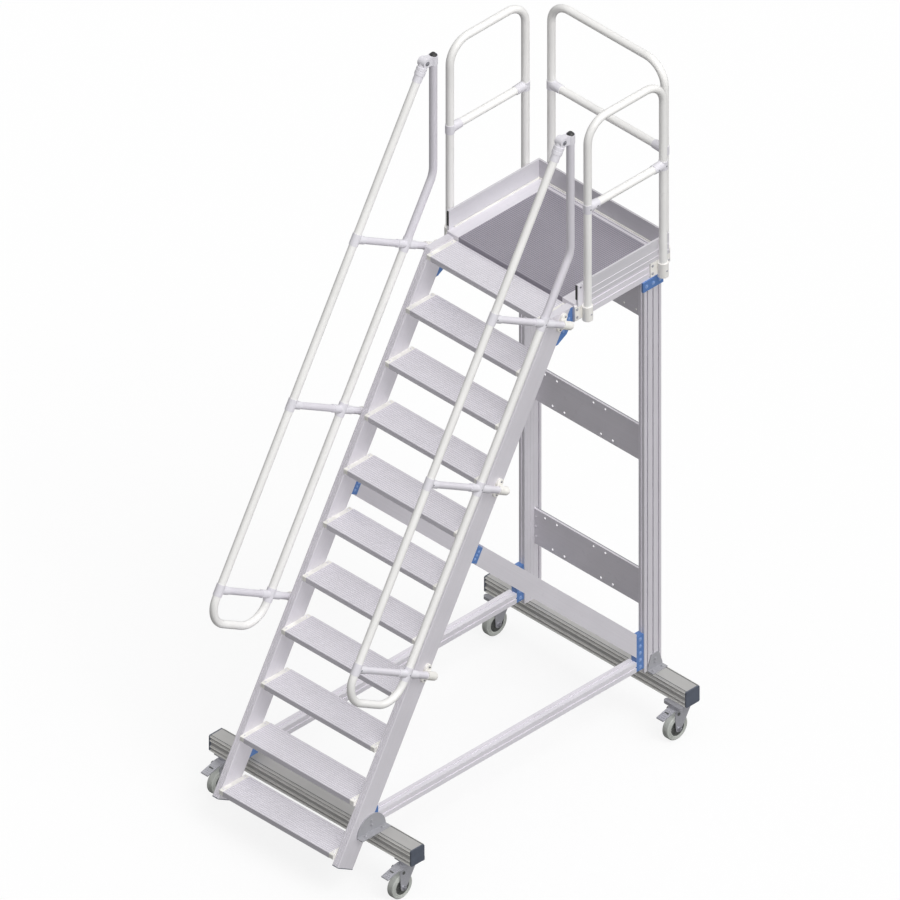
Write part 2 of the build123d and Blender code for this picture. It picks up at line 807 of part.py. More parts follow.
# Rear panels: flanged sheets between the posts, each with two staggered rows of hole pairs
with BuildPart() as rear_panels:
    for level in range(panel_count):
        bottom = beam_top + panel_lift + level * panel_pitch
        with Locations((0, post_rear - panel_setback, bottom)):
            Box(2 * frame_inner, panel_sheet, panel_height, align=(Align.CENTER, Align.MIN, Align.MIN))
            Box(2 * frame_inner, panel_flange, panel_sheet, align=(Align.CENTER, Align.MIN, Align.MIN))
        with Locations((0, post_rear - panel_setback, bottom + panel_height)):
            Box(2 * frame_inner, panel_flange, panel_sheet, align=(Align.CENTER, Align.MIN, Align.MAX))
        rows = (
            (panel_hole_start, bottom + panel_height - panel_hole_margin),
            (panel_hole_start + panel_row_shift, bottom + panel_hole_margin),
        )
        with BuildSketch(Plane.XZ.offset(-(post_rear - panel_setback))):
            for row_start, row_z in rows:
                for group in range(2):
                    for hole in range(2):
                        hole_x = row_start + group * panel_hole_pitch + hole * panel_hole_pair
                        with Locations((hole_x, row_z)):
                            Circle(panel_hole_radius)
        extrude(amount=-panel_sheet, mode=Mode.SUBTRACT)
save(rear_panels, "rear_panels")

# Tie rails along the foot of each side frame
tie_front = stringer_line(-stringer_depth, tie_top) + tie_front_gap

with BuildPart() as tie_rails:
    for label, side in sides:
        tie_x = side * side_frame_middle - tie_shift
        with BuildSketch(Plane.XZ.offset(-tie_front)):
            with Locations((tie_x, tie_bottom + tie_height / 2)):
                Rectangle(tie_width, tie_height)
                for face in (-1, 1):
                    with Locations((face * (tie_width - tie_slot_depth) / 2, 0)):
                        Rectangle(tie_slot_depth, tie_slot, mode=Mode.SUBTRACT)
                    with Locations((0, face * (tie_height - tie_slot_depth) / 2)):
                        Rectangle(tie_slot, tie_slot_depth, mode=Mode.SUBTRACT)
        extrude(amount=-(tie_rear - tie_front))
save(tie_rails, "tie_rails")

# Diagonal braces: from the post strip up to a bracket on the stringer's rear face
brace_cos = cos(radians(brace_angle))
brace_sin = sin(radians(brace_angle))
brace_foot = beam_top + brace_foot_height
brace_head_out = -stringer_depth - brace_bracket


def brace_head(offset):
    """Y and Z where a line of the brace, raised by offset at its foot, meets the bracket."""
    foot_z = brace_foot + offset
    foot_out = (foot_z - flight_z) * slope_cos - (tie_rear - flight_y) * slope_sin
    gain = brace_cos * slope_sin + brace_sin * slope_cos
    length = (brace_head_out - foot_out) / gain
    return tie_rear - length * brace_cos, foot_z + length * brace_sin


brace_half = brace_depth / 2 / brace_cos
upper_head = brace_head(brace_half)
lower_head = brace_head(-brace_half)
brace_middle = brace_head(0)
bracket_along = (brace_middle[0] - flight_y) * slope_cos + (brace_middle[1] - flight_z) * slope_sin

with BuildPart() as diagonal_braces:
    for label, side in sides:
        with BuildSketch(side_plane(side * side_frame_middle - brace_shift - brace_width / 2)):
            with BuildLine():
                Polyline(
                    (tie_rear, brace_foot - brace_half),
                    (tie_rear, brace_foot + brace_half),
                    upper_head,
                    lower_head,
                    close=True,
                )
            make_face()
        extrude(amount=brace_width)
save(diagonal_braces, "diagonal_braces")

# Brackets on the stringers: at the tie's front end, at the brace's head and at the platform
wedge_bottom = stringer_line(-stringer_depth, tie_bottom)
wedge_head = tie_top + wedge_head_share * tie_front_gap * tan(radians(stair_angle))
wedge_top = stringer_line(-stringer_depth, wedge_head)
plate_low = stringer_top - top_bracket_drop
plate_low_y = stringer_line(-stringer_depth, plate_low)
plate_slant_y = stringer_line(-stringer_depth - top_bracket, plate_low)
plate_meet_z = flight_z + (platform_front - flight_y) * tan(radians(stair_angle))
plate_meet_z -= (stringer_depth + top_bracket) / slope_cos
plate_high_y = stringer_line(-stringer_depth, stringer_top)

bracket_outlines = (
    (
        (wedge_bottom, tie_bottom),
        (wedge_top, wedge_head),
        (tie_front, wedge_head),
        (tie_front, tie_bottom),
    ),
    (
        flight_point(bracket_along - brace_bracket_length / 2, -stringer_depth),
        flight_point(bracket_along + brace_bracket_length / 2, -stringer_depth),
        flight_point(bracket_along + brace_bracket_length / 2, brace_head_out),
        flight_point(bracket_along - brace_bracket_length / 2, brace_head_out),
    ),
    (
        (plate_low_y, plate_low),
        (plate_high_y, stringer_top),
        (platform_front, stringer_top),
        (platform_front, plate_meet_z),
        (plate_slant_y, plate_low),
    ),
)

with BuildPart() as stringer_brackets:
    for label, side in sides:
        for outline in bracket_outlines:
            bracket_x = side * side_frame_middle - bracket_shift
            with BuildSketch(side_plane(bracket_x - bracket_width / 2)):
                with BuildLine():
                    Polyline(*outline, close=True)
                make_face()
            extrude(amount=bracket_width)
save(stringer_brackets, "stringer_brackets")

with BuildPart() as post_brackets:
    for label, side in sides:
        with Locations((side * side_frame_middle - bracket_shift, tie_rear, beam_top + strip_lift)):
            Box(
                bracket_width,
                post_front - tie_rear,
                strip_height,
                align=(Align.CENTER, Align.MIN, Align.MIN),
            )
        head_front = post_front - head_bracket_front
        post_outer = frame_inner + post_width
        with Locations((side * (post_outer + head_bracket / 2), head_front, platform_bottom)):
            Box(
                head_bracket,
                post_rear - head_front,
                head_bracket_height,
                align=(Align.CENTER, Align.MIN, Align.MAX),
            )
save(post_brackets, "post_brackets")

# Foot plates that bolt stringers and posts to the beams: a shaped cheek on a flat flange
stair_foot_y = nosing_y + stair_foot_front
post_foot_y = post_rear - post_foot_length
post_foot_middle = post_rear - post_foot_length / 2

with BuildPart() as beam_feet:
    for label, side in sides:
        with BuildSketch(side_plane(side * frame_outer)):
            with Locations((stair_foot_y + stair_foot_length / 2, beam_top)):
                Ellipse(stair_foot_length / 2, stair_foot_height)
                Rectangle(
                    stair_foot_length,
                    stair_foot_height,
                    align=(Align.CENTER, Align.MAX),
                    mode=Mode.SUBTRACT,
                )
        extrude(amount=side * foot_plate)
        tie_x = side * side_frame_middle - tie_shift
        with Locations((tie_x, tie_front - foot_notch_gap, tie_bottom + tie_height / 2)):
            Box(
                tie_width + 2 * foot_notch_gap,
                stair_foot_length,
                tie_height + 2 * foot_notch_gap,
                align=(Align.CENTER, Align.MIN, Align.CENTER),
                mode=Mode.SUBTRACT,
            )
        with Locations((side * (frame_outer + foot_flange / 2), stair_foot_y, beam_top)):
            Box(foot_flange, stair_foot_length, foot_plate, align=(Align.CENTER, Align.MIN, Align.MIN))
        with BuildSketch(side_plane(side * frame_outer)):
            with BuildLine():
                Polyline(
                    (post_foot_y, beam_top),
                    (post_foot_y + post_foot_length, beam_top),
                    (post_foot_y + post_foot_length, beam_top + post_foot_skirt),
                    (post_foot_middle + post_foot_top / 2, beam_top + post_foot_height),
                    (post_foot_middle - post_foot_top / 2, beam_top + post_foot_height),
                    (post_foot_y, beam_top + post_foot_skirt),
                    close=True,
                )
            make_face()
        extrude(amount=side * foot_plate)
        with Locations((side * (frame_outer + foot_flange / 2), post_foot_y, beam_top)):
            Box(foot_flange, post_foot_length, foot_plate, align=(Align.CENTER, Align.MIN, Align.MIN))
save(beam_feet, "beam_feet")
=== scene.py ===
# %% [markdown]
# # Mobile platform stairs
# A steep aluminium stair flight climbs to a guarded platform, and the whole thing rolls on four
# swivel castors. The load-bearing shapes come from the CAD frame and are never moved. This lesson
# gives them their finishes and adds the small things that a maker would screw on afterwards.

# %% Load the frame
import json
import math

import bmesh
import bpy
from mathutils import Matrix, Vector


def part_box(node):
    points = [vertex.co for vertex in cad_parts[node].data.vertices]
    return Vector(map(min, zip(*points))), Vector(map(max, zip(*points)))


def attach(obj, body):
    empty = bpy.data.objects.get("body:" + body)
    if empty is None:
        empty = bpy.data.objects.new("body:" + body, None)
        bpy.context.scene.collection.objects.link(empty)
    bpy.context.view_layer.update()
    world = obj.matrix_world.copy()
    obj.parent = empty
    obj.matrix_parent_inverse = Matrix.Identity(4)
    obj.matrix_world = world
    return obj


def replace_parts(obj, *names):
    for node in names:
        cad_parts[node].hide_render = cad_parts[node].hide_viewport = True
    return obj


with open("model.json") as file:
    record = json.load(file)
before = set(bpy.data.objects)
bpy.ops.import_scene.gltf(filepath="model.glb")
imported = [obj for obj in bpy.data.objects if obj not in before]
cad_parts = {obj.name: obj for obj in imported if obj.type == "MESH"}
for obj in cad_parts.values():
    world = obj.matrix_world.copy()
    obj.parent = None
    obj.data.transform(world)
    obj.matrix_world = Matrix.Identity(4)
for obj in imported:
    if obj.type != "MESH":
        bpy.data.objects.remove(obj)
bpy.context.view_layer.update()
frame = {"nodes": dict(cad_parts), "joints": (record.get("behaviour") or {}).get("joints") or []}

MM = 0.001
nodes = frame["nodes"]

# %% [markdown]
# ## Camera
# The picture was taken from far away along the diagonal of a cube, so parallel edges stay parallel.
# A long lens would come close, but an orthographic camera gives exactly that. It looks past the
# object's corner at equal angles to all three axes.

# %% Camera
FRAME_HEIGHT = 4.248
AIM = Vector((0, 0.0441, 1.812))
TOWARDS_CAMERA = Vector((1, -1, 1)).normalized()
CAMERA_DISTANCE = 12

scene = bpy.context.scene
camera_data = bpy.data.cameras.new("camera")
camera_data.type = "ORTHO"
camera_data.ortho_scale = FRAME_HEIGHT
camera = bpy.data.objects.new("camera", camera_data)
camera.location = AIM + TOWARDS_CAMERA * CAMERA_DISTANCE
camera.rotation_mode = "QUATERNION"
camera.rotation_quaternion = (-TOWARDS_CAMERA).to_track_quat("-Z", "Y")
scene.collection.objects.link(camera)
scene.camera = camera
scene.view_settings.view_transform = "Standard"
print("camera at", [round(metres, 2) for metres in camera.location])

# %% [markdown]
# ## Shader maths in plain Python
# Node trees are quick to draw but slow to read. This small class wraps a socket, so that an
# expression such as `1 - mask * 0.3` adds its Math nodes by itself, and one method makes every other
# kind of node from its type, its settings and its sockets.

# %% The wire class
class Wire:
    """A socket in a material's node tree, with operators that add Math nodes."""

    def __init__(self, tree, socket=None):
        self.tree = tree
        self.socket = socket

    def node(self, kind, settings=None, sockets=None, out=0):
        """Add a node: settings first, then socket values or links; gives one of its outputs."""
        made = self.tree.nodes.new(kind)
        for name, value in (settings or {}).items():
            setattr(made, name, value)
        for name, value in (sockets or {}).items():
            if isinstance(value, Wire):
                self.tree.links.new(value.socket, made.inputs[name])
            else:
                made.inputs[name].default_value = value
        return Wire(self.tree, made.outputs[out] if made.outputs else None)

    def output(self, name):
        """Another output of the node that this socket belongs to."""
        return Wire(self.tree, self.socket.node.outputs[name])

    def maths(self, operation, first, second):
        """A Math node on two values or sockets."""
        return self.node("ShaderNodeMath", {"operation": operation}, {0: first, 1: second})

    def __add__(self, other):
        return self.maths("ADD", self, other)

    def __sub__(self, other):
        return self.maths("SUBTRACT", self, other)

    def __rsub__(self, other):
        return self.maths("SUBTRACT", other, self)

    def __mul__(self, other):
        return self.maths("MULTIPLY", self, other)

    __radd__ = __add__
    __rmul__ = __mul__


def fresh_wire(owner):
    """A wire to build on in the emptied node tree of a world or a material."""
    owner.use_nodes = True
    owner.node_tree.nodes.clear()
    return Wire(owner.node_tree)


def mix_colour(wire, factor, first, second):
    """Blend two colours by a value from 0 to 1; the node's sockets 6 and 7 are its colours."""
    return wire.node("ShaderNodeMix", {"data_type": "RGBA"}, {0: factor, 6: first, 7: second}, out=2)


def linear(red, green, blue):
    """A colour as read off a screen, from 0 to 255, turned into the linear values of a shader."""
    def channel(level):
        share = level / 255
        return share / 12.92 if share <= 0.04045 else ((share + 0.055) / 1.055) ** 2.4

    return (channel(red), channel(green), channel(blue), 1)


def shade(colour, share):
    """The same colour, lighter or darker."""
    return tuple(channel * share for channel in colour[:3]) + (1,)


print("shader helpers ready")

# %% [markdown]
# ## Light
# A studio picture of a pale object on white needs soft light from one side and a little from all round.
# Two lamps stand high on the open side of the flight, so treads and outer faces are bright and the
# fronts of the steps fall into shade. The weaker lamp throws a soft shadow. The stronger one throws
# none, so that what lies under the treads doesn't turn black. What the camera sees behind the object,
# directly or mirrored, is plain white, while the room lights the object only weakly.

# %% Lamps and room
KEY_FROM = Vector((0.62, -0.02, 0.80))
KEY_STRENGTH = 0.7
FILL_FROM = Vector((0.66, -0.02, 0.76))
FILL_STRENGTH = 1.84
LAMP_SPREAD = math.radians(35)
ROOM_STRENGTH = 0.43
PLAIN_WHITE = (1, 1, 1, 1)


def add_sun(name, from_direction, strength, casts_shadow):
    """A distant lamp with soft edges."""
    data = bpy.data.lights.new(name, "SUN")
    data.energy = strength
    data.angle = LAMP_SPREAD
    data.use_shadow = casts_shadow
    lamp = bpy.data.objects.new(name, data)
    lamp.rotation_mode = "QUATERNION"
    lamp.rotation_quaternion = (-from_direction).to_track_quat("-Z", "Y")
    scene.collection.objects.link(lamp)


add_sun("key_light", KEY_FROM, KEY_STRENGTH, True)
add_sun("fill_light", FILL_FROM, FILL_STRENGTH, False)

world = bpy.data.worlds.new("studio")
sky = fresh_wire(world)
ray = sky.node("ShaderNodeLightPath")
seen = ray.output("Is Camera Ray")
for kind in ("Is Glossy Ray", "Is Transmission Ray"):
    seen = seen.maths("MAXIMUM", seen, ray.output(kind))
room = sky.node("ShaderNodeBackground", sockets={"Color": PLAIN_WHITE, "Strength": ROOM_STRENGTH})
backdrop = sky.node("ShaderNodeBackground", sockets={"Color": PLAIN_WHITE, "Strength": 1.0})
both = sky.node("ShaderNodeMixShader", sockets={0: seen, 1: room, 2: backdrop})
sky.node("ShaderNodeOutputWorld", sockets={"Surface": both})
scene.world = world
print("two lamps and the room ready")

# %% [markdown]
# ## Floor
# The floor is one large pale sheet. A part of what the camera sees of it is plain white, so it stays
# white while the object's shadow still shows. Towards the object the sheet is greyer, or its bounce
# would wash out the shaded faces.

# %% Floor
FLOOR_HALF = 30
FLOOR_WHITE = 0.7
FLOOR_SEEN = 0.94
FLOOR_BOUNCE = 0.22

floor_mesh = bpy.data.meshes.new("floor")
corners = [(FLOOR_HALF * x, FLOOR_HALF * y, 0) for x, y in ((-1, -1), (1, -1), (1, 1), (-1, 1))]
floor_mesh.from_pydata(corners, [], [(0, 1, 2, 3)])
floor = bpy.data.objects.new("floor", floor_mesh)
scene.collection.objects.link(floor)
floor_finish = bpy.data.materials.new("floor_sheet")
sheet = fresh_wire(floor_finish)
seen_by_camera = sheet.node("ShaderNodeLightPath").output("Is Camera Ray")
paper_tone = FLOOR_BOUNCE + seen_by_camera * (FLOOR_SEEN - FLOOR_BOUNCE)
paper = sheet.node("ShaderNodeBsdfDiffuse", sockets={"Color": paper_tone})
glow = sheet.node("ShaderNodeEmission", sockets={"Color": PLAIN_WHITE, "Strength": 1.0})
white_share = seen_by_camera * FLOOR_WHITE
surface = sheet.node("ShaderNodeMixShader", sockets={0: white_share, 1: paper, 2: glow})
sheet.node("ShaderNodeOutputMaterial", sockets={"Surface": surface})
floor_mesh.materials.append(floor_finish)
print("floor ready:", 2 * FLOOR_HALF, "metres wide")

# %% [markdown]
# ## Patterns that the finishes share
# Real metal is never one colour. Extruded bars carry fine draw lines, paint has a soft orange peel,
# and everything that is handled picks up faint blotches. All patterns read the object's own
# coordinates, which are metres in the frame, so a pattern's scale is a real size, and it rides along
# when a castor turns.

# %% Pattern helpers
def start_finish(name):
    """An empty material with a wire to build on and the object's coordinates."""
    material = bpy.data.materials.new(name)
    wire = fresh_wire(material)
    place = wire.node("ShaderNodeTexCoord", out="Object")
    return material, wire, place


def noise(place, scale, detail=3.0):
    """Soft random value around one half, with features about 1 / scale metres wide."""
    return place.node("ShaderNodeTexNoise", sockets={"Vector": place, "Scale": scale, "Detail": detail})


def stretch(place, scales):
    """Coordinates scaled by a different amount along each axis."""
    return place.node("ShaderNodeVectorMath", {"operation": "MULTIPLY"}, {0: place, 1: scales})


def ramp(value, low, high):
    """0 below low, 1 above high, and an even slope between."""
    return value.node("ShaderNodeMapRange", sockets={0: value, 1: low, 2: high, 3: 0.0, 4: 1.0})


def close_finish(material, wire, colour, roughness, height, depth, metallic=0.0, coat=0.0):
    """Send colour, roughness and relief to the shader; depth is the relief's height in metres."""
    relief = wire.node("ShaderNodeBump", sockets={"Height": height, "Distance": depth, "Strength": 1.0})
    sockets = {
        "Base Color": colour, "Roughness": roughness, "Metallic": metallic,
        "Coat Weight": coat, "Normal": relief,
    }
    shader = wire.node("ShaderNodeBsdfPrincipled", sockets=sockets)
    wire.node("ShaderNodeOutputMaterial", sockets={"Surface": shader})
    return material


print("pattern helpers ready")

# %% [markdown]
# ## Extruded aluminium
# Stringers, posts, beams, rails and treads are pressed through a die, which leaves lines along the
# bar. Noise that is squeezed across the bar and drawn out along it gives those lines. The run of the
# bar is given as scales on the three axes. Stringers, braces and standoffs lean, so their coordinates
# are turned first.

# %% Extruded finishes
DRAW_ACROSS = 420
DRAW_ALONG = 3
DRAW_DEPTH = 0.08 * MM
BLOTCH_SCALE = 5.0
MARK_SCALE = 38.0
FLIGHT_ANGLE = math.radians(60)
BRACE_ANGLE = math.radians(45)
ALONG_X = (DRAW_ALONG, DRAW_ACROSS, DRAW_ACROSS)
ALONG_Y = (DRAW_ACROSS, DRAW_ALONG, DRAW_ACROSS)
ALONG_Z = (DRAW_ACROSS, DRAW_ACROSS, DRAW_ALONG)


def extruded(name, colour, run, lean=0.0, roughness=0.42, metallic=0.12):
    """Satin anodised bar with draw lines along its run and faint handling blotches."""
    material, wire, place = start_finish(name)
    if lean:
        place = place.node(
            "ShaderNodeVectorRotate", {"rotation_type": "X_AXIS"}, {"Vector": place, "Angle": lean}
        )
    lines = noise(stretch(place, run), 1.0, 2.0)
    blotch = noise(place, BLOTCH_SCALE)
    marks = ramp(noise(place, MARK_SCALE, 5.0), 0.60, 0.72) * ramp(blotch, 0.45, 0.65)
    tone = 0.5 * lines + 0.5 * blotch
    body = mix_colour(wire, ramp(tone, 0.35, 0.65), shade(colour, 0.955), shade(colour, 1.035))
    worn = mix_colour(wire, marks * 0.35, body, shade(colour, 0.82))
    rough = roughness + 0.16 * (lines - 0.5) + 0.10 * marks
    return close_finish(material, wire, worn, rough, lines, DRAW_DEPTH, metallic)


BAR_ALUMINIUM = linear(216, 213, 219)
RAIL_ALUMINIUM = linear(225, 222, 228)
finishes = {
    # the tread ribs are the treads' aluminium, painted lighter: a painted highlight on the ribs
    "tread": extruded("tread_aluminium", linear(208, 205, 212), ALONG_X),
    "tread_rib_highlight": extruded("tread_rib_painted_highlight", linear(230, 227, 233), ALONG_X),
    "stringer": extruded("stringer_aluminium", BAR_ALUMINIUM, ALONG_Y, -FLIGHT_ANGLE),
    "brace": extruded("brace_aluminium", BAR_ALUMINIUM, ALONG_Y, BRACE_ANGLE),
    "post": extruded("post_aluminium", BAR_ALUMINIUM, ALONG_Z),
    "rail": extruded("tie_aluminium", RAIL_ALUMINIUM, ALONG_Y),
    "panel": extruded("panel_sheet", BAR_ALUMINIUM, ALONG_X),
    "board": extruded("toe_board_aluminium", linear(210, 208, 213), ALONG_Y),
    # darker than the side boards: painted shade on the rear board's shaded front
    "rear_board_shade": extruded("rear_toe_board_painted_shade", linear(197, 195, 200), ALONG_X),
    "beam": extruded("base_beam_aluminium", linear(175, 174, 172), ALONG_X),
    # lighter than the beam: a painted highlight on the lips
    "beam_lip_highlight": extruded("base_beam_lips_painted_highlight", linear(190, 189, 185), ALONG_X),
    "platform": extruded("platform_beam_aluminium", RAIL_ALUMINIUM, ALONG_Y),
    # one aluminium: the deck painted darker, painted shade between the ribs, and the ribs lighter, a
    # painted highlight
    "deck": extruded("deck_aluminium", linear(132, 128, 138), ALONG_X),
    "deck_rib_highlight": extruded("deck_rib_painted_highlight", linear(166, 162, 172), ALONG_X),
    "handrail_post": extruded("handrail_post_tube", linear(220, 217, 224), ALONG_Z),
    "standoff": extruded("standoff_tube", linear(224, 221, 228), ALONG_Z, -FLIGHT_ANGLE),
}
print("extruded finishes:", sorted(finishes))

# %% [markdown]
# ## Painted tubes, castings and plastics
# Hoops and handrails are bent tube with an ivory powder coat: a fine orange peel under a soft gloss.
# The clamps and brackets are castings, with a coarser skin and a little wear where spanners reach.
# Caps and plugs are moulded plastic with a fine even grain.

# %% Painted, cast and moulded finishes
TONE_SCALE = 4.0
SCUFF_SCALE = 60.0
SCUFF_PATCH_SCALE = 7.0
POLISH_SCALE = 14.0
GRAIN_DEPTH = 0.12 * MM
CASTING = {"peel": 520, "depth": 0.14 * MM, "roughness": 0.40, "coat": 0.1}
BLUE_PAINT = {"peel": 520, "depth": 0.12 * MM, "coat": 0.15, "wear": 0.35}


def coated(name, colour, peel=900, depth=0.06 * MM, roughness=0.34, coat=0.25, wear=0.25):
    """Painted or cast skin: peel is the grain's fineness and wear the strength of scuffs."""
    material, wire, place = start_finish(name)
    blotch = noise(place, TONE_SCALE)
    texture = noise(place, peel, 2.0)
    patches = ramp(noise(place, SCUFF_PATCH_SCALE), 0.48, 0.66)
    scuffs = ramp(noise(place, SCUFF_SCALE, 6.0), 0.62, 0.74) * patches
    body = mix_colour(wire, ramp(blotch, 0.35, 0.65), shade(colour, 0.965), shade(colour, 1.025))
    worn = mix_colour(wire, scuffs * wear, body, shade(colour, 0.72))
    rough = roughness + 0.10 * (texture - 0.5) + 0.22 * scuffs
    return close_finish(material, wire, worn, rough, texture, depth, 0.0, coat)


def moulded(name, colour, grain=1500, roughness=0.55):
    """Plastic or rubber with a fine even grain and slightly polished patches."""
    material, wire, place = start_finish(name)
    texture = noise(place, grain, 3.0)
    polish = ramp(noise(place, POLISH_SCALE, 4.0), 0.42, 0.68)
    body = mix_colour(wire, polish, shade(colour, 0.90), shade(colour, 1.10))
    rough = roughness - 0.14 * polish + 0.12 * (texture - 0.5)
    return close_finish(material, wire, body, rough, texture, GRAIN_DEPTH)


finishes.update(
    tube=coated("ivory_powder_coat", linear(242, 241, 239)),
    fitting=coated("tube_fitting_casting", linear(224, 222, 228), **CASTING),
    clamp=coated("ivory_clamp_casting", linear(237, 235, 231), **CASTING),
    white_cap=moulded("white_end_cap", linear(238, 236, 231)),
    blue=coated("blue_bracket_paint", linear(87, 124, 182), roughness=0.42, **BLUE_PAINT),
    # the bracket bolts are painted a lighter blue than the brackets: a painted highlight
    blue_bolt=coated("blue_bolt_paint", linear(132, 160, 206), roughness=0.40, **BLUE_PAINT),
    foot=coated("grey_foot_casting", linear(160, 160, 165), 420, 0.16 * MM, 0.46, 0.05),
    slate=moulded("slate_end_cap", linear(84, 90, 102)),
    black=moulded("black_plug", linear(36, 36, 36)),
    tyre=moulded("grey_tyre_rubber", linear(184, 187, 182), 700, 0.68),
    hub=moulded("dark_wheel_hub", linear(84, 86, 84), 900, 0.5),
)
print("coated and moulded finishes added:", len(finishes))

# %% [markdown]
# ## Zinc-plated steel
# Castor forks, bolts and nuts are steel with a zinc skin. Zinc grows in flat crystals, so a cell
# pattern shifts the tone a little from patch to patch, and a fine noise roughens it.

# %% Zinc finishes
CRYSTAL_SCALE = 240.0
SATIN_SCALE = 1800.0
SATIN_DEPTH = 0.05 * MM


def zinc(name, colour, roughness=0.36, metallic=0.35):
    """Plated steel: crystal cells a few millimetres wide and a fine satin grain."""
    material, wire, place = start_finish(name)
    crystals = {"Vector": place, "Scale": CRYSTAL_SCALE}
    cells = place.node("ShaderNodeTexVoronoi", sockets=crystals, out="Color")
    level = cells.node("ShaderNodeSeparateColor", sockets={"Color": cells})
    grain = noise(place, SATIN_SCALE, 2.0)
    body = mix_colour(wire, level, shade(colour, 0.90), shade(colour, 1.08))
    rough = roughness + 0.12 * (level - 0.5) + 0.10 * (grain - 0.5)
    return close_finish(material, wire, body, rough, grain, SATIN_DEPTH, metallic)


finishes.update(
    castor=zinc("castor_zinc", linear(178, 178, 184)),
    bolt=zinc("bolt_zinc", linear(150, 150, 156), 0.30, 0.5),
)
print("zinc finishes added:", len(finishes))

# %% [markdown]
# ## Finishes on the frame's own pieces
# Each CAD node takes one finish. A table of finishes and their nodes is easier to check than a line
# for each node, and the names of the castors' pieces differ only in their last words.

# %% Give every node its finish
nodes_by_finish = {
    "beam": "front_beam rear_beam platform_bearers",
    "slate": "beam_end_caps stringer_end_plugs",
    "castor": "castor_plates",
    "stringer": "stringer_left stringer_right",
    "tread": "treads",
    "white_cap": "tread_end_caps standoff_clamps",
    "platform": "platform_beam_left platform_beam_right",
    "panel": "platform_beam_rear platform_end_caps rear_panels",
    "deck": "platform_deck",
    "board": "toe_board_left toe_board_right",
    "rear_board_shade": "toe_board_rear",
    "tube": "guard_hoop_left guard_hoop_right guard_hoop_rear guard_mid_rails handrail_left handrail_right",
    "fitting": "guard_tees handrail_fittings handrail_elbows",
    "clamp": "guard_clamps",
    "handrail_post": "handrail_post_left handrail_post_right",
    "black": "handrail_plugs",
    "standoff": "handrail_standoffs",
    "post": "rear_post_left rear_post_right",
    "rail": "tie_rails",
    "brace": "diagonal_braces",
    "blue": "stringer_brackets post_brackets",
    "foot": "beam_feet",
}
castor_finishes = {"fork": "castor", "pedal": "castor", "tyre": "tyre", "hub": "hub"}
castor_places = ("front_left", "front_right", "rear_left", "rear_right")
node_finishes = {}
for finish_name, group in nodes_by_finish.items():
    for node_name in group.split():
        node_finishes[node_name] = finish_name
for castor_place in castor_places:
    for piece, finish_name in castor_finishes.items():
        node_finishes[f"castor_{piece}_{castor_place}"] = finish_name

for node_name, finish_name in node_finishes.items():
    materials = nodes[node_name].data.materials
    materials.clear()
    materials.append(finishes[finish_name])
print("nodes without a finish:", sorted(set(nodes) - set(node_finishes)))

# %% [markdown]
# ## Where the separate solids are
# One node can hold many alike pieces, such as all the treads. The mesh of such a node falls apart
# into islands, and each island's box tells where one piece is. So every rib, screw and bolt below is
# placed from the frame itself and would follow if the frame changed.

# %% Boxes of the solids in a node
WELD = 1e-5


def solids(node_name):
    """Lowest and highest corner of each separate piece in a node, from the lowest piece up."""
    mesh = bmesh.new()
    mesh.from_mesh(nodes[node_name].data)
    bmesh.ops.remove_doubles(mesh, verts=mesh.verts, dist=WELD)
    waiting = set(mesh.verts)
    boxes = []
    while waiting:
        island = [waiting.pop()]
        for vertex in island:
            for edge in vertex.link_edges:
                other = edge.other_vert(vertex)
                if other in waiting:
                    waiting.remove(other)
                    island.append(other)
        points = [vertex.co for vertex in island]
        low = Vector(min(point[axis] for point in points) for axis in range(3))
        high = Vector(max(point[axis] for point in points) for axis in range(3))
        boxes.append((low, high))
    mesh.free()
    return sorted(boxes, key=lambda box: (round(box[0].z, 3), round(box[0].y, 3), box[0].x))


def middle(box):
    """The middle of a box."""
    return (box[0] + box[1]) / 2


def sides(box):
    """Which side of the stairs a box is on, 1 or -1, and where its inner and its outer face are."""
    low, high = box
    return (1, low.x, high.x) if low.x + high.x > 0 else (-1, high.x, low.x)


def between(low, high, share):
    """The number at a share of the way from low to high."""
    return low + share * (high - low)


print("treads found:", len(solids("treads")))

# %% [markdown]
# ## Making small pieces
# Turned things, such as screws and nuts, are a profile spun round an axis; with six corners the same
# spin gives a hexagon head. Ribs are a section drawn along a bar, and plates an outline skinned across
# its thickness. Alike shapes go into one mesh, which keeps the scene light.

# %% Helpers that add shapes to a mesh
UP, DOWN = Vector((0, 0, 1)), Vector((0, 0, -1))
FRONT, BACK = Vector((0, -1, 0)), Vector((0, 1, 0))
ACROSS = Vector((1, 0, 0))


def skin(mesh, rings):
    """Join rings of as many corners each into a closed shape."""
    corners = len(rings[0])
    for lower, upper in zip(rings, rings[1:]):
        for corner in range(corners):
            following = (corner + 1) % corners
            mesh.faces.new((lower[corner], lower[following], upper[following], upper[corner]))
    mesh.faces.new(list(reversed(rings[0])))
    mesh.faces.new(rings[-1])


def spin(mesh, centre, axis, profile, corners=24):
    """Add a closed turned shape: profile is a list of (radius, height along the axis)."""
    axis = Vector(axis).normalized()
    turn = axis.to_track_quat("Z", "Y").to_matrix()
    rings = []
    for radius, height in profile:
        ring = []
        for corner in range(corners):
            angle = 2 * math.pi * corner / corners
            local = Vector((radius * math.cos(angle), radius * math.sin(angle), height))
            ring.append(mesh.verts.new(Vector(centre) + turn @ local))
        rings.append(ring)
    skin(mesh, rings)


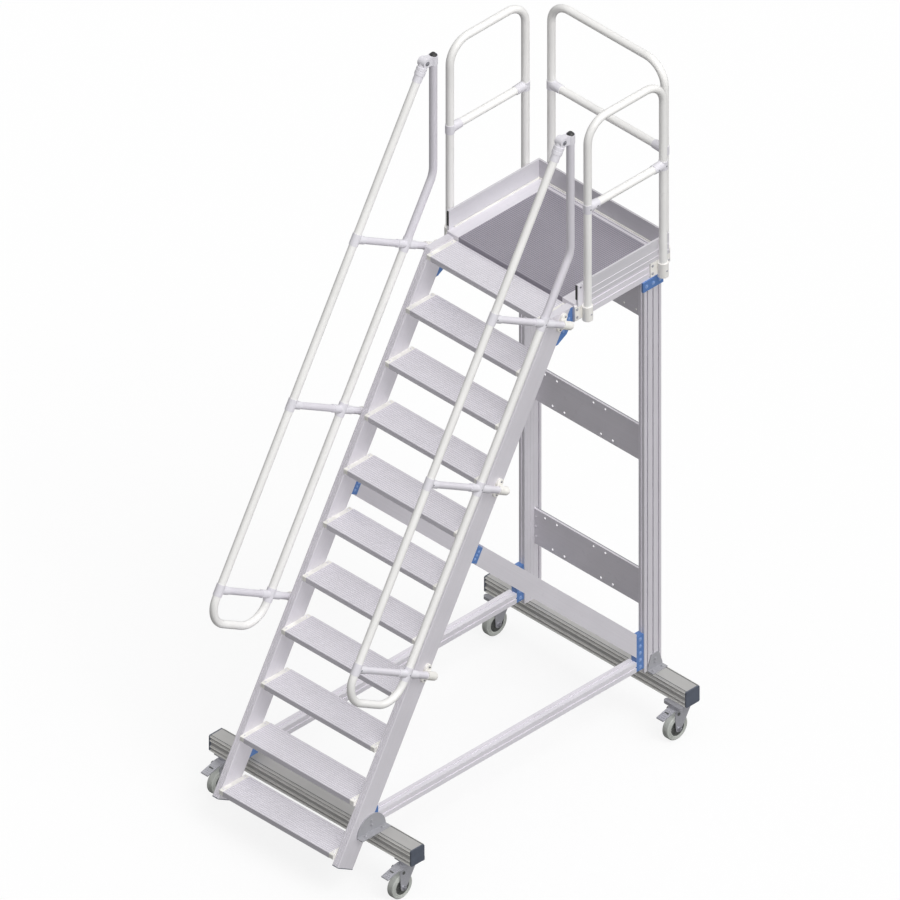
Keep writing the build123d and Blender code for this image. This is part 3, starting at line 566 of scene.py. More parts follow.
def rounded_plate(mesh, centre, long_way, face_way, length, width, thickness, edge=2 * MM, steps=10):
    """Add a plate with half-round ends and a chamfered face, which lies on a flat side."""
    cross_way = face_way.cross(long_way)
    rings = []
    for inset, lift in ((0, 0), (0, thickness - edge), (edge, thickness)):
        ring = []
        for end in (1, -1):
            for step in range(steps + 1):
                angle = math.pi * (step / steps - 0.5)
                along = end * ((length - width) / 2 + (width / 2 - inset) * math.cos(angle))
                across = end * (width / 2 - inset) * math.sin(angle)
                point = centre + long_way * along + cross_way * across + face_way * lift
                ring.append(mesh.verts.new(point))
        rings.append(ring)
    skin(mesh, rings)


def bead_ring(mesh, centre, axis, radius, bead, corners=48, around=6):
    """Add a thin ring of round section about an axis."""
    turn = Vector(axis).normalized().to_track_quat("Z", "Y").to_matrix()
    rings = []
    for corner in range(corners):
        angle = 2 * math.pi * corner / corners
        ring = []
        for step in range(around):
            roll = 2 * math.pi * step / around
            reach = radius + bead * math.cos(roll)
            local = Vector((reach * math.cos(angle), reach * math.sin(angle), bead * math.sin(roll)))
            ring.append(mesh.verts.new(Vector(centre) + turn @ local))
        rings.append(ring)
    for corner in range(corners):
        first, second = rings[corner], rings[(corner + 1) % corners]
        for step in range(around):
            following = (step + 1) % around
            mesh.faces.new((first[step], second[step], second[following], first[following]))


def ridge(mesh, start, end, up, width, height, top_share=0.55):
    """Add a low rib with sloping sides from start to end."""
    start, end, up = Vector(start), Vector(end), Vector(up).normalized()
    across = (end - start).normalized().cross(up)
    section = ((-0.5, 0), (0.5, 0), (0.5 * top_share, 1), (-0.5 * top_share, 1))
    ends = []
    for point in (start, end):
        corners = [point + across * width * side + up * height * lift for side, lift in section]
        ends.append([mesh.verts.new(corner) for corner in corners])
    for corner in range(4):
        following = (corner + 1) % 4
        mesh.faces.new((ends[0][corner], ends[0][following], ends[1][following], ends[1][corner]))
    mesh.faces.new(ends[0][::-1])
    mesh.faces.new(ends[1])


def ridge_across(mesh, low_x, high_x, y, z, up, size):
    """Add a low rib along X."""
    ridge(mesh, (low_x, y, z), (high_x, y, z), up, *size)


print("shape helpers ready")

# %% [markdown]
# ## Pieces, bolts and screws
# A finished mesh becomes an object with one finish that rides on a body of the frame and moves with
# it. Bolts and screws come in many places and few sizes, so each kind is a function of both.

# %% Helpers for pieces, bolts and screws
WASHER = 1.5 * MM


def add_piece(name, mesh, finish_name, body="frame"):
    """Turn a built mesh into a piece that rides on a body of the frame."""
    bmesh.ops.recalc_face_normals(mesh, faces=mesh.faces)
    data = bpy.data.meshes.new(name)
    mesh.to_mesh(data)
    mesh.free()
    data.materials.append(finishes[finish_name])
    piece = bpy.data.objects.new(name, data)
    scene.collection.objects.link(piece)
    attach(piece, body)
    print(name, "has", len(data.polygons), "faces")
    return piece


def hex_bolt(mesh, centre, axis, radius, height):
    """A washer and a hexagon head with a chamfered top."""
    spin(mesh, centre, axis, ((radius * 1.5, 0), (radius * 1.5, WASHER), (radius * 1.1, WASHER)))
    head = ((radius, WASHER), (radius, height * 0.82), (radius * 0.86, height), (radius * 0.3, height))
    spin(mesh, centre, axis, head, 6)


def socket_screw(mesh, centre, axis, radius=5 * MM, height=4 * MM):
    """A round screw head with a sunk drive."""
    head = (
        (radius, 0), (radius, height * 0.7), (radius * 0.8, height),
        (radius * 0.5, height), (radius * 0.45, height * 0.4), (radius * 0.1, height * 0.35),
    )
    spin(mesh, centre, axis, head, 20)


print("piece helpers ready")

# %% [markdown]
# ## Ribbed treads and deck
# The walking faces are extruded with fine ribs along the tread, so that a shoe grips. A bump map
# would do from far away, but real low ribs catch the light from every side and keep their outline
# close up. The ribs' finishes are lighter than the treads' and the deck's, a painted highlight, and the
# deck's own is darker, painted shade between the ribs. A rib's size is its width, its height and, if
# given, the share of its width at the top.

# %% Tread and deck ribs
RIB_PITCH = 12 * MM
RIB_SIZE = (6 * MM, 2 * MM)
RIB_MARGIN = 7 * MM


def ribbed_top(name, boxes, finish_name):
    """Rows of ribs along X over the top of each box."""
    mesh = bmesh.new()
    for low, high in boxes:
        depth = high.y - low.y - 2 * RIB_MARGIN
        count = int(depth / RIB_PITCH)
        for row in range(count + 1):
            y = low.y + RIB_MARGIN + depth * row / count
            ridge_across(mesh, low.x, high.x, y, high.z, UP, RIB_SIZE)
    add_piece(name, mesh, finish_name)


ribbed_top("tread_ribs", solids("treads"), "tread_rib_highlight")
ribbed_top("deck_ribs", solids("platform_deck"), "deck_rib_highlight")

# %% [markdown]
# ## Lips and painted groove shade on the base beams
# Between the wide slots of the base beams stand narrow lips with a sloping upper side. They draw the
# bright lines along the beams' shaded fronts: they are real ridges, and their finish is lighter than
# the beam's, a painted highlight. A dark strip along each edge of the beams' tops is painted shade
# for a groove there.

# %% Beam lips and painted groove shade
LIP_PLACES = (-39 * MM, -17 * MM, 17 * MM, 39 * MM)
LIP_SIZE = (6 * MM, 3.5 * MM, 0.15)
GROOVE_SHADE_INSET = 8 * MM
GROOVE_SHADE_SIZE = (4 * MM, 0.8 * MM)

lips, groove_shades = bmesh.new(), bmesh.new()
for node_name in ("front_beam", "rear_beam"):
    low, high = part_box(node_name)
    for face_y, outward in ((low.y, -1), (high.y, 1)):
        for lift in LIP_PLACES:
            z = (low.z + high.z) / 2 + lift
            ridge_across(lips, low.x, high.x, face_y, z, BACK * outward, LIP_SIZE)
        # painted shade: a dark strip on the top's edge stands for the shade in a groove
        groove_shade_y = face_y - outward * GROOVE_SHADE_INSET
        ridge_across(groove_shades, low.x, high.x, groove_shade_y, high.z, UP, GROOVE_SHADE_SIZE)
add_piece("beam_lips", lips, "beam_lip_highlight")
add_piece("beam_groove_shades", groove_shades, "hub")

# %% [markdown]
# ## Screws in the tread caps
# Two screws hold each white cap at the ends of the treads. Screws are small, but they are what makes
# a bolted structure read as one. A screw's or bolt's size is a pair of head radius and height.

# %% Tread cap screws
CAP_SCREW = (5 * MM, 2.5 * MM)
CAP_SCREW_INSET = 22 * MM

screws = bmesh.new()
for low, high in solids("tread_end_caps"):
    for y in (low.y + CAP_SCREW_INSET, high.y - CAP_SCREW_INSET):
        socket_screw(screws, ((low.x + high.x) / 2, y, high.z), UP, *CAP_SCREW)
add_piece("tread_cap_screws", screws, "fitting")

# %% [markdown]
# ## Gussets and bolts on the blue brackets
# Painted brackets join posts, stringers and braces, with a row of bolts on their side faces. Those
# under the platform widen into a gusset, a flat plate, so an outline of four points is skinned across
# its thickness and drawn in a little on both faces for a chamfer.

# %% Gusset and bolt row helpers
GUSSET_EDGE = 1 * MM
GUSSET_FACE = 0.97


def gusset(mesh, outline, low_x, high_x):
    """Add a plate that stands across X, with its outline in Y and Z and narrow chamfers."""
    centre = sum((Vector(point) for point in outline), Vector((0, 0))) / len(outline)
    sections = (
        (low_x, GUSSET_FACE), (low_x + GUSSET_EDGE, 1),
        (high_x - GUSSET_EDGE, 1), (high_x, GUSSET_FACE),
    )
    rings = []
    for x, share in sections:
        flat = [centre.lerp(Vector(point), share) for point in outline]
        rings.append([mesh.verts.new((x, point.x, point.y)) for point in flat])
    skin(mesh, rings)


def bolt_row(mesh, box, shares, face_x, outward, size):
    """Bolts on one side face of a box, at pairs of shares of its length in Y and its height."""
    low, high = box
    for share_y, share_z in shares:
        y, z = between(low.y, high.y, share_y), between(low.z, high.z, share_z)
        hex_bolt(mesh, (face_x, y, z), (outward, 0, 0), *size)


print("gusset and bolt row ready")

# %% Bracket bolts and gussets
POST_BRACKET_BOLT = (7 * MM, 4.5 * MM)
SLIM_BOLT = (5 * MM, 4.5 * MM)
FOOT_BRACKET_BOLTS = 5
HEAD_BRACKET_BOLTS = 3
LEANING_SHARES = (0.34, 0.5, 0.66)
GUSSET_START = 20 * MM
GUSSET_CORNER = (78 * MM, 32 * MM)
GUSSET_MEET = 85 * MM
GUSSET_BOLT_SHIFT = 15 * MM
GUSSET_PROUD = 0.5 * MM

bolts, gussets = bmesh.new(), bmesh.new()
for low, high in solids("post_brackets"):
    tall = high.z - low.z > high.y - low.y
    count = FOOT_BRACKET_BOLTS if tall else HEAD_BRACKET_BOLTS
    spread = [(spot + 0.5) / count for spot in range(count)]
    shares = [(0.5, share) if tall else (share, 0.5) for share in spread]
    for face_x, outward in ((low.x, -1), (high.x, 1)):
        if tall or face_x * outward > 0:
            bolt_row(bolts, (low, high), shares, face_x, outward, POST_BRACKET_BOLT)

# From the lowest up there are two wedges without bolts, two brackets at the braces and two on top.
stringer_brackets = solids("stringer_brackets")
brace_brackets, platform_brackets = stringer_brackets[2:4], stringer_brackets[4:6]
shares = [(share, share) for share in LEANING_SHARES]
for low, high in brace_brackets:
    for face_x, outward in ((low.x, -1), (high.x, 1)):
        bolt_row(bolts, (low, high), shares, face_x, outward, SLIM_BOLT)
for low, high in platform_brackets:
    front, back = low.y + GUSSET_START, high.y - GUSSET_PROUD
    outline = (
        (front, low.z), (low.y + GUSSET_CORNER[0], low.z + GUSSET_CORNER[1]),
        (back, low.z + GUSSET_MEET), (back, low.z + (back - front) * math.tan(FLIGHT_ANGLE)),
    )
    low_x, high_x = low.x - GUSSET_PROUD, high.x + GUSSET_PROUD
    gusset(gussets, outline, low_x, high_x)
    shift = GUSSET_BOLT_SHIFT / (high.y - low.y)
    shares = [(share + shift, share) for share in LEANING_SHARES]
    for face_x, outward in ((low_x, -1), (high_x, 1)):
        bolt_row(bolts, (low, high), shares, face_x, outward, SLIM_BOLT)
add_piece("bracket_bolts", bolts, "blue_bolt")
add_piece("bracket_gussets", gussets, "blue")

# %% [markdown]
# ## Bolts in the beam feet
# The grey feet on the base beams have a flange that lies on the beam and an upright cheek, and both
# are bolted. Shares of each foot's box give the places, and the plates' thickness gives the heights.

# %% Beam feet bolts
FOOT_BOLT = (7 * MM, 6 * MM)
FOOT_PLATE = 6 * MM
FLANGE_BOLT_SHARES = (0.2, 0.8)
CHEEK_BOLT_SHARES = (0.42, 0.66)

bolts = bmesh.new()
for low, high in solids("beam_feet"):
    side, inner_x, outer_x = sides((low, high))
    cheek_x = inner_x + side * FOOT_PLATE
    flange_x = (cheek_x + outer_x) / 2
    for share in FLANGE_BOLT_SHARES:
        spot = (flange_x, between(low.y, high.y, share), low.z + FOOT_PLATE)
        hex_bolt(bolts, spot, UP, *FOOT_BOLT)
    for share in CHEEK_BOLT_SHARES:
        spot = (cheek_x, (low.y + high.y) / 2, between(low.z, high.z, share))
        hex_bolt(bolts, spot, (side, 0, 0), *FOOT_BOLT)
add_piece("foot_bolts", bolts, "foot")

# %% [markdown]
# ## Handrail clamps
# The standoff tubes end in small castings on the stringers' outer faces: a round socket that takes
# the tube, and a flange with half-round ends that is screwed to the stringer above and below it. The
# frame has a plain block there. A turned socket, a web and a plate stand for it here. The fittings
# on the tubes get a grub screw each.

# %% Handrail clamp castings and screws
FLIGHT_UP = Vector((0, math.cos(FLIGHT_ANGLE), math.sin(FLIGHT_ANGLE)))
FLIGHT_OUT = Vector((0, -math.sin(FLIGHT_ANGLE), math.cos(FLIGHT_ANGLE)))
SOCKET_BORE = 17.7 * MM
SOCKET_RADIUS = 22 * MM
SOCKET_LENGTH = 68 * MM
SOCKET_FLOOR = 8 * MM
SOCKET_ROUND = 7 * MM
SOCKET_CHAMFER = 2 * MM
SOCKET_PROFILE = (
    (SOCKET_BORE, SOCKET_FLOOR), (SOCKET_BORE, SOCKET_LENGTH), (SOCKET_RADIUS, SOCKET_LENGTH),
    (SOCKET_RADIUS, SOCKET_ROUND), (SOCKET_RADIUS - SOCKET_CHAMFER, SOCKET_CHAMFER),
    (SOCKET_RADIUS - SOCKET_ROUND, 0), (2 * MM, 0),
)
SOCKET_CORNERS = 32
FLANGE_LENGTH = 96 * MM
FLANGE_WIDTH = 38 * MM
FLANGE_HEIGHT = 14 * MM
FLANGE_SCREW_PLACES = (-34 * MM, 34 * MM)
WEB_TOP_SHARE = 0.8
GRUB_SCREW = (4 * MM, 2 * MM)
SCREW_SINK = 1 * MM

castings, screws = bmesh.new(), bmesh.new()
tube_x = max(middle(box).x for box in solids("handrail_standoffs"))
for box in solids("standoff_clamps"):
    side, inner_x, outer_x = sides(box)
    outward = ACROSS * side
    seat = Vector((inner_x, middle(box).y, middle(box).z))
    socket_end = Vector((side * tube_x, seat.y, seat.z)) - FLIGHT_OUT * SOCKET_LENGTH / 2
    spin(castings, socket_end, FLIGHT_OUT, SOCKET_PROFILE, SOCKET_CORNERS)
    web_start, web_end = seat - FLIGHT_OUT * FLANGE_WIDTH / 2, seat + FLIGHT_OUT * FLANGE_WIDTH / 2
    web_height = abs(side * tube_x - seat.x) - SOCKET_BORE
    ridge(castings, web_start, web_end, outward, FLANGE_WIDTH, web_height, WEB_TOP_SHARE)
    rounded_plate(castings, seat, FLIGHT_UP, outward, FLANGE_LENGTH, FLANGE_WIDTH, FLANGE_HEIGHT)
    for place in FLANGE_SCREW_PLACES:
        socket_screw(screws, seat + FLIGHT_UP * place + outward * FLANGE_HEIGHT, outward)
for box in solids("handrail_fittings"):
    side, inner_x, outer_x = sides(box)
    spot = (outer_x - side * SCREW_SINK, middle(box).y, middle(box).z)
    socket_screw(screws, spot, (side, 0, 0), *GRUB_SCREW)
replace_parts(add_piece("standoff_clamp_castings", castings, "white_cap"), "standoff_clamps")
add_piece("handrail_clamp_screws", screws, "bolt")

# %% [markdown]
# ## Bolts and plugs of the guard clamps
# The guards stand in clamps on the platform's beams: a plate with two bolts and a sleeve with screws.
# A black plug closes the tube's foot. The clamps at the back are turned, so every place is counted
# from one corner in two directions: out from the beam and along it.

# %% Guard clamp bolts and plugs
CLAMP_PLATE = 8 * MM
CLAMP_BOLT_INSET = 13 * MM
CLAMP_BOLT_EDGE = 18 * MM
CLAMP_POST_OUT = 36 * MM
CLAMP_POST_ALONG = 55 * MM
PLUG_PROFILE = ((19 * MM, 0), (19 * MM, 3 * MM), (14 * MM, 5 * MM), (4 * MM, 5 * MM))

bolts, plugs = bmesh.new(), bmesh.new()
platform_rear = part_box("platform_beam_rear")[1].y
for low, high in solids("guard_clamps"):
    side, inner_x, outer_x = sides((low, high))
    at_rear = low.y > platform_rear - MM
    outward, along = (BACK, ACROSS * side) if at_rear else (ACROSS * side, BACK)
    corner = Vector((inner_x, low.y, low.z))
    size = high - low
    reach_out, reach_along = abs(size.dot(outward)), abs(size.dot(along))
    post = corner + outward * CLAMP_POST_OUT + along * CLAMP_POST_ALONG
    for height in (CLAMP_BOLT_EDGE, size.z - CLAMP_BOLT_EDGE):
        level = corner + UP * height
        hex_bolt(bolts, level + outward * CLAMP_PLATE + along * CLAMP_BOLT_INSET, outward, *SLIM_BOLT)
        if at_rear:
            spot = level + outward * CLAMP_POST_OUT + along * (reach_along - SCREW_SINK)
            socket_screw(bolts, spot, along)
    level = corner + UP * size.z / 2
    spot = level + outward * (reach_out - SCREW_SINK) + along * CLAMP_POST_ALONG
    socket_screw(bolts, spot, outward)
    spin(plugs, post, DOWN, PLUG_PROFILE)
add_piece("guard_clamp_bolts", bolts, "castor")
add_piece("guard_post_plugs", plugs, "black")

# %% [markdown]
# ## Screws and collars of tees and elbows
# The tees of the mid rails have two grub screws on their outer faces. The handrails' elbows have a
# knuckle with a bolt on each side, and below it a collar with a groove and a bead at the sleeve's end.
# All of it is spun, because on the real fittings it is turned.

# %% Tee screws and elbow bolts
TEE_SCREW_STEP = 24 * MM
KNUCKLE_BACK = 82.6 * MM
KNUCKLE_DROP = 25 * MM
KNUCKLE_SINK = 0.8 * MM
KNUCKLE_BOLT = (8 * MM, 5 * MM)


def knuckle(box):
    """The middle of the knuckle in an elbow's box."""
    low, high = box
    return Vector(((low.x + high.x) / 2, high.y - KNUCKLE_BACK, high.z - KNUCKLE_DROP))


screws = bmesh.new()
for low, high in solids("guard_tees"):
    centre = (low + high) / 2
    side, inner_x, outer_x = sides((low, high))
    for step in (-TEE_SCREW_STEP, TEE_SCREW_STEP):
        if high.x - low.x > high.y - low.y:
            socket_screw(screws, (centre.x + step, high.y, centre.z), BACK, *GRUB_SCREW)
        else:
            socket_screw(screws, (outer_x, centre.y + step, centre.z), (side, 0, 0), *GRUB_SCREW)
for box in solids("handrail_elbows"):
    reach = (box[1].x - box[0].x) / 2 - KNUCKLE_SINK
    for outward in (ACROSS, -ACROSS):
        hex_bolt(screws, knuckle(box) + outward * reach, outward, *KNUCKLE_BOLT)
add_piece("fitting_screws", screws, "bolt")

# %% Elbow collars
COLLAR_PROFILE = (
    (22 * MM, 26 * MM), (26.5 * MM, 28 * MM), (26.5 * MM, 42 * MM), (24.5 * MM, 43.5 * MM),
    (24.5 * MM, 46 * MM), (26.5 * MM, 47.5 * MM), (26.5 * MM, 66 * MM), (22 * MM, 69 * MM),
)
COLLAR_CORNERS = 36
SLEEVE_RADIUS = 22.8 * MM
SLEEVE_END = 100 * MM
SLEEVE_BEAD = 1.2 * MM

collars = bmesh.new()
for box in solids("handrail_elbows"):
    spin(collars, knuckle(box), -FLIGHT_UP, COLLAR_PROFILE, COLLAR_CORNERS)
    sleeve_end = knuckle(box) - FLIGHT_UP * SLEEVE_END
    bead_ring(collars, sleeve_end, FLIGHT_UP, SLEEVE_RADIUS, SLEEVE_BEAD)
add_piece("elbow_collars", collars, "fitting")

# %% [markdown]
# ## Toe board trim
# The toe boards are plain boards on edge, with two fine lines along their outer faces. Black strips
# close their cut front ends, a bead runs along the corner between board and deck, pale for a painted
# highlight, and a flat strap ties the board to the beam. Strips and straps are slabs with softened
# edges, because a perfectly sharp edge never catches light.

# %% Slab helper
def slab(mesh, first, second, edge=0.8 * MM):
    """Add a box between two opposite corners with a narrow chamfer on every edge."""
    first, second = Vector(first), Vector(second)
    size = [abs(length) for length in second - first]
    place = Matrix.Translation((first + second) / 2) @ Matrix.Diagonal((*size, 1))
    made = bmesh.ops.create_cube(mesh, size=1.0, matrix=place)
    edges = {edge_line for vertex in made["verts"] for edge_line in vertex.link_edges}
    bmesh.ops.bevel(mesh, geom=list(edges), offset=edge, segments=2, affect="EDGES")


print("slab helper ready")

# %% Toe board strips, beads, lines and straps
STRIP_DEPTH = 5 * MM
STRIP_START = 0.3
BEAD_SIZE = (7 * MM, 7 * MM)
BEAD_START = 34 * MM
BOARD_LINE_DROPS = (60 * MM, 96 * MM)
BOARD_LINE_SIZE = (4 * MM, 2 * MM)
STRAP_WIDTH = 34 * MM
STRAP_THICKNESS = 4 * MM
STRAP_OVERLAP = 6 * MM
STRAP_SCREW_DROP = 16 * MM

strips, beads, lines, straps, screws = (bmesh.new() for kind in range(5))
deck_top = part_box("platform_deck")[1].z
for node_name in ("toe_board_left", "toe_board_right"):
    low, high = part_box(node_name)
    side, inner_x, outer_x = sides((low, high))
    strip_foot = between(low.z, high.z, STRIP_START)
    slab(strips, (low.x, low.y - STRIP_DEPTH, strip_foot), (high.x, low.y, high.z))
    bead_x = inner_x - side * BEAD_SIZE[0] / 2
    bead_front, bead_rear = (bead_x, low.y + BEAD_START, deck_top), (bead_x, platform_rear, deck_top)
    ridge(beads, bead_front, bead_rear, UP, *BEAD_SIZE)
    for drop in BOARD_LINE_DROPS:
        start = (outer_x, low.y + STRAP_WIDTH, high.z - drop)
        end = (outer_x, high.y, high.z - drop)
        ridge(lines, start, end, (side, 0, 0), *BOARD_LINE_SIZE)
    strap_face = outer_x + side * STRAP_THICKNESS
    strap_end = (strap_face, low.y + STRAP_WIDTH, high.z)
    slab(straps, (outer_x, low.y, low.z - STRAP_OVERLAP), strap_end)
    spot = (strap_face, low.y + STRAP_WIDTH / 2, high.z - STRAP_SCREW_DROP)
    socket_screw(screws, spot, (side, 0, 0))
low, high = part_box("toe_board_rear")
bead_y = low.y - BEAD_SIZE[0] / 2
ridge_across(beads, low.x, high.x, bead_y, deck_top, UP, BEAD_SIZE)
add_piece("toe_board_strips", strips, "black")
# the beads are real ridges; their pale finish is a painted highlight
add_piece("toe_board_beads_painted_highlight", beads, "white_cap")
add_piece("toe_board_lines", lines, "panel")
add_piece("toe_board_straps", straps, "fitting")
add_piece("toe_board_strap_screws", screws, "bolt")

# %% [markdown]
# ## Covers on the stringers' heads
# The stringers end level under the platform's edge. A thin cover bridges each head and the bracket
# behind it, up to the platform, and a lip hangs down inside. Two thin slabs do for this bent sheet.

# %% Stringer head covers
HEAD_LENGTH = 132 * MM
COVER_THICKNESS = 2 * MM
COVER_GAP = 0.5 * MM
COVER_EDGE = 0.5 * MM
COVER_LIP = 34 * MM
COVER_LIP_LENGTH = 60 * MM

covers = bmesh.new()
platform_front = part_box("platform_end_caps")[0].y
for node_name, bracket in zip(("stringer_left", "stringer_right"), platform_brackets):
    low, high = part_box(node_name)
    start = (min(low.x, bracket[0].x), high.y - HEAD_LENGTH, high.z)
    end = (max(high.x, bracket[1].x), platform_front - COVER_GAP, high.z + COVER_THICKNESS)
    slab(covers, start, end, COVER_EDGE)
    lip_x = end[0] if low.x < 0 else start[0] - COVER_THICKNESS
    lip_low = (lip_x, platform_front - COVER_LIP_LENGTH, high.z - COVER_LIP)
    slab(covers, lip_low, (lip_x + COVER_THICKNESS, end[1], end[2]), COVER_EDGE)
add_piece("stringer_head_covers", covers, "stringer")

# %% [markdown]
# ## Strips on the posts' inner faces
# Towards each other the rear posts look plain but for one slot along the back. A thin strip closes
# the other two, with fine lines along it, and the rear panels are riveted over it.

# %% Post strips
POST_STRIP = 1.2 * MM
POST_STRIP_INSET = 2 * MM
POST_STRIP_EDGE = 0.4 * MM
POST_BACK_SLOT = 29 * MM
POST_LINE_SHARES = (0.18, 0.45, 0.72)
POST_LINE_SIZE = (6 * MM, 1.2 * MM)

strips = bmesh.new()
for node_name in ("rear_post_left", "rear_post_right"):
    low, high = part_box(node_name)
    side, inner_x, outer_x = sides((low, high))
    face_x = inner_x - side * POST_STRIP
    front, back = low.y + POST_STRIP_INSET, high.y - POST_BACK_SLOT
    slab(strips, (inner_x, front, low.z), (face_x, back, high.z), POST_STRIP_EDGE)
    for share in POST_LINE_SHARES:
        y = between(front, back, share)
        start, end = (face_x, y, low.z), (face_x, y, high.z)
        ridge(strips, start, end, (-side, 0, 0), *POST_LINE_SIZE)
add_piece("post_inner_strips", strips, "post")

# %% [markdown]
# ## Rivets, studs and edge lines on the rear panels
# The folded sheets between the rear posts are riveted at both ends. A low dome on a flat flange is
# enough for a rivet this small. A low ridge in a darker grey runs along the back edge of each top fold,
# and the uppermost panel has pale studs.

# %% Panel rivets, studs and fold edge lines
RIVET_PROFILE = ((6 * MM, 0), (5.4 * MM, 1.2 * MM), (3.6 * MM, 2.2 * MM), (1 * MM, 2.6 * MM))
RIVET_CORNERS = 16
RIVET_INSET = 12 * MM
RIVET_SHARES = (0.22, 0.5, 0.78)
STUD_PLACES = (-221 * MM, 221 * MM, -301 * MM, 301 * MM)
STUD_LIFT = 27 * MM
FOLD_LINE_INSET = 2.5 * MM
FOLD_LINE_SIZE = (5 * MM, 2 * MM)

rivets, studs, fold_edge_lines = (bmesh.new() for kind in range(3))
panels = solids("rear_panels")
for low, high in panels:
    for x in (low.x + RIVET_INSET, high.x - RIVET_INSET):
        for share in RIVET_SHARES:
            spot = (x, low.y, between(low.z, high.z, share))
            spin(rivets, spot, FRONT, RIVET_PROFILE, RIVET_CORNERS)
    # a darker ridge draws a dark line along the back edge of the top fold
    fold_line_y = high.y - FOLD_LINE_INSET
    ridge_across(fold_edge_lines, low.x, high.x, fold_line_y, high.z, UP, FOLD_LINE_SIZE)
low, high = panels[-1]
for x in STUD_PLACES:
    spin(studs, (x, low.y, low.z + STUD_LIFT), FRONT, RIVET_PROFILE, RIVET_CORNERS)
add_piece("panel_rivets", rivets, "panel")
add_piece("panel_studs", studs, "white_cap")
add_piece("panel_fold_edge_lines", fold_edge_lines, "foot")

# %% [markdown]
# ## Castor plates
# Four bolts hold each castor's plate up against the beam, and a thick rounded tongue of the plate
# shows beside the beam. The plates don't swivel, so both ride with the frame.

# %% Castor plate bolts and tongues
PLATE_BOLT = (5 * MM, 4 * MM)
PLATE_BOLT_INSET = 10 * MM
PLATE_THICKNESS = 6 * MM
TONGUE_REACH = 26 * MM
TONGUE_DEPTH = 29 * MM
TONGUE_OVERHANG = 14 * MM
TONGUE_THICKNESS = 20 * MM
TONGUE_EDGE = 3 * MM

bolts, tongues = bmesh.new(), bmesh.new()
for low, high in solids("castor_plates"):
    for x in (low.x + PLATE_BOLT_INSET, high.x - PLATE_BOLT_INSET):
        for y in (low.y + PLATE_BOLT_INSET, high.y - PLATE_BOLT_INSET):
            hex_bolt(bolts, (x, y, high.z - PLATE_THICKNESS), DOWN, *PLATE_BOLT)
    if low.y > 0:
        tongue_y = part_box("rear_beam")[0].y - TONGUE_REACH + TONGUE_DEPTH / 2
    else:
        tongue_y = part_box("front_beam")[1].y + TONGUE_REACH - TONGUE_DEPTH / 2
    centre = Vector(((low.x + high.x) / 2, tongue_y, high.z))
    length = high.x - low.x + 2 * TONGUE_OVERHANG
    rounded_plate(tongues, centre, ACROSS, DOWN, length, TONGUE_DEPTH, TONGUE_THICKNESS, TONGUE_EDGE)
add_piece("castor_plate_bolts", bolts, "bolt")
add_piece("castor_plate_tongues", tongues, "castor")

# %% [markdown]
# ## Castor forks and pedals
# Nuts hold each axle in its fork and dark pins show where the brake pedal hinges. The pedal's slope
# has grip ribs, and a dark strip across it is painted shade for a slot there. All of this rides with
# the fork, so it follows when the castor swivels.

# %% Axle nuts and hinge pins
AXLE_NUT = (8 * MM, 6 * MM)
HINGE_INSET = 16 * MM
HINGE_LIFT = 92 * MM
HINGE_PROFILE = ((9 * MM, 0), (9 * MM, 1.5 * MM), (7 * MM, 2.5 * MM), (3 * MM, 2.5 * MM))

joint_places = {joint["name"]: Vector(joint["pos_m"]) for joint in frame["joints"]}
for castor_place in castor_places:
    axle = joint_places[f"roll_{castor_place}"]
    low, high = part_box(f"castor_fork_{castor_place}")
    nuts, pins = bmesh.new(), bmesh.new()
    for face_x, outward in ((high.x, 1), (low.x, -1)):
        hex_bolt(nuts, (face_x, axle.y, axle.z), (outward, 0, 0), *AXLE_NUT)
        hinge = (face_x, low.y + HINGE_INSET, axle.z + HINGE_LIFT)
        spin(pins, hinge, (outward, 0, 0), HINGE_PROFILE)
    add_piece(f"axle_nuts_{castor_place}", nuts, "bolt", f"castor_{castor_place}")
    add_piece(f"pedal_hinge_{castor_place}", pins, "hub", f"castor_{castor_place}")

# %% Pedal grips and painted slot shade
PEDAL_FLAT = 92 * MM
PEDAL_THICKNESS = 5 * MM
GRIPS = 6
GRIP_SHARES = [(grip + 0.4) / (GRIPS + 2) for grip in range(GRIPS)]
GRIP_INSET = 3 * MM
GRIP_SIZE = (5 * MM, 1.5 * MM)
SLOT_SHADE_PLACE = 0.52
SLOT_SHADE_INSET_SHARE = 0.25
SLOT_SHADE_SIZE = (8 * MM, 2.4 * MM, 0.8)

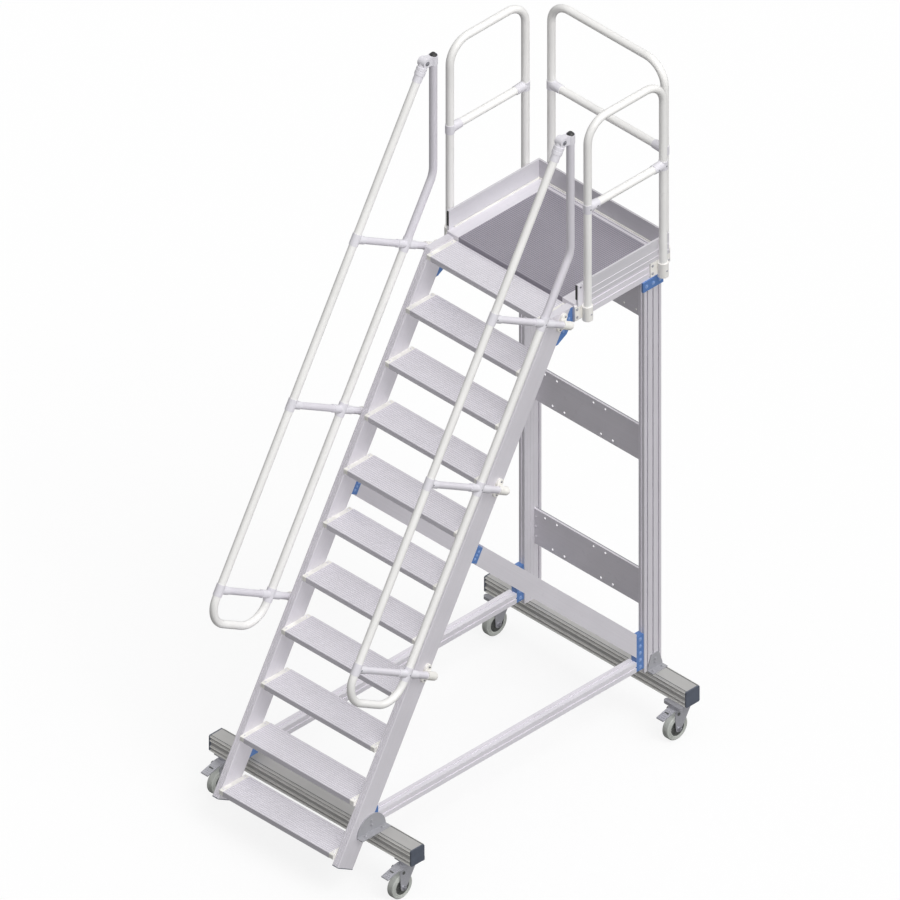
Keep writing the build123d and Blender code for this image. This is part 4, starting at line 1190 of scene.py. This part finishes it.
for castor_place in castor_places:
    low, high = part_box(f"castor_pedal_{castor_place}")
    tip = Vector((0, low.y, low.z + PEDAL_THICKNESS))
    slope = Vector((0, PEDAL_FLAT, high.z - tip.z))
    up = Vector((0, -slope.z, slope.y))
    grips, slot_shades = bmesh.new(), bmesh.new()
    for share in GRIP_SHARES:
        y, z = (tip + slope * share).yz
        ridge_across(grips, low.x + GRIP_INSET, high.x - GRIP_INSET, y, z, up, GRIP_SIZE)
    # painted shade: a dark strip stands for the slot across the pedal
    y, z = (tip + slope * SLOT_SHADE_PLACE).yz
    inset = SLOT_SHADE_INSET_SHARE * (high.x - low.x)
    ridge_across(slot_shades, low.x + inset, high.x - inset, y, z, up, SLOT_SHADE_SIZE)
    add_piece(f"pedal_grips_{castor_place}", grips, "castor", f"castor_{castor_place}")
    add_piece(f"pedal_slot_shade_{castor_place}", slot_shades, "hub", f"castor_{castor_place}")

# %% [markdown]
# ## Castor wheels
# The hubs have stiffening ribs in their recesses, and each tyre shows moulding lines on its walls.
# They ride with the wheel, so that one can see it roll.

# %% Hub ribs and tyre lines
HUB_BOSS = 15 * MM
HUB_RIM = 39 * MM
HUB_RECESS = 9 * MM
HUB_RIBS = 6
HUB_RIB_SIZE = (5 * MM, 7 * MM)
TYRE_LINES = (49 * MM, 57 * MM)
TYRE_BEAD = 1.4 * MM

for castor_place in castor_places:
    axle = joint_places[f"roll_{castor_place}"]
    low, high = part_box(f"castor_hub_{castor_place}")
    ribs, lines = bmesh.new(), bmesh.new()
    for face_x, outward in ((high.x, 1), (low.x, -1)):
        recess = Vector((face_x - outward * HUB_RECESS, axle.y, axle.z))
        for rib in range(HUB_RIBS):
            angle = 2 * math.pi * rib / HUB_RIBS
            spoke = Vector((0, math.cos(angle), math.sin(angle)))
            start, end = recess + spoke * HUB_BOSS, recess + spoke * HUB_RIM
            ridge(ribs, start, end, (outward, 0, 0), *HUB_RIB_SIZE)
        for radius in TYRE_LINES:
            bead_ring(lines, (face_x, axle.y, axle.z), ACROSS, radius, TYRE_BEAD)
    add_piece(f"hub_ribs_{castor_place}", ribs, "hub", f"wheel_{castor_place}")
    add_piece(f"tyre_lines_{castor_place}", lines, "tyre", f"wheel_{castor_place}")
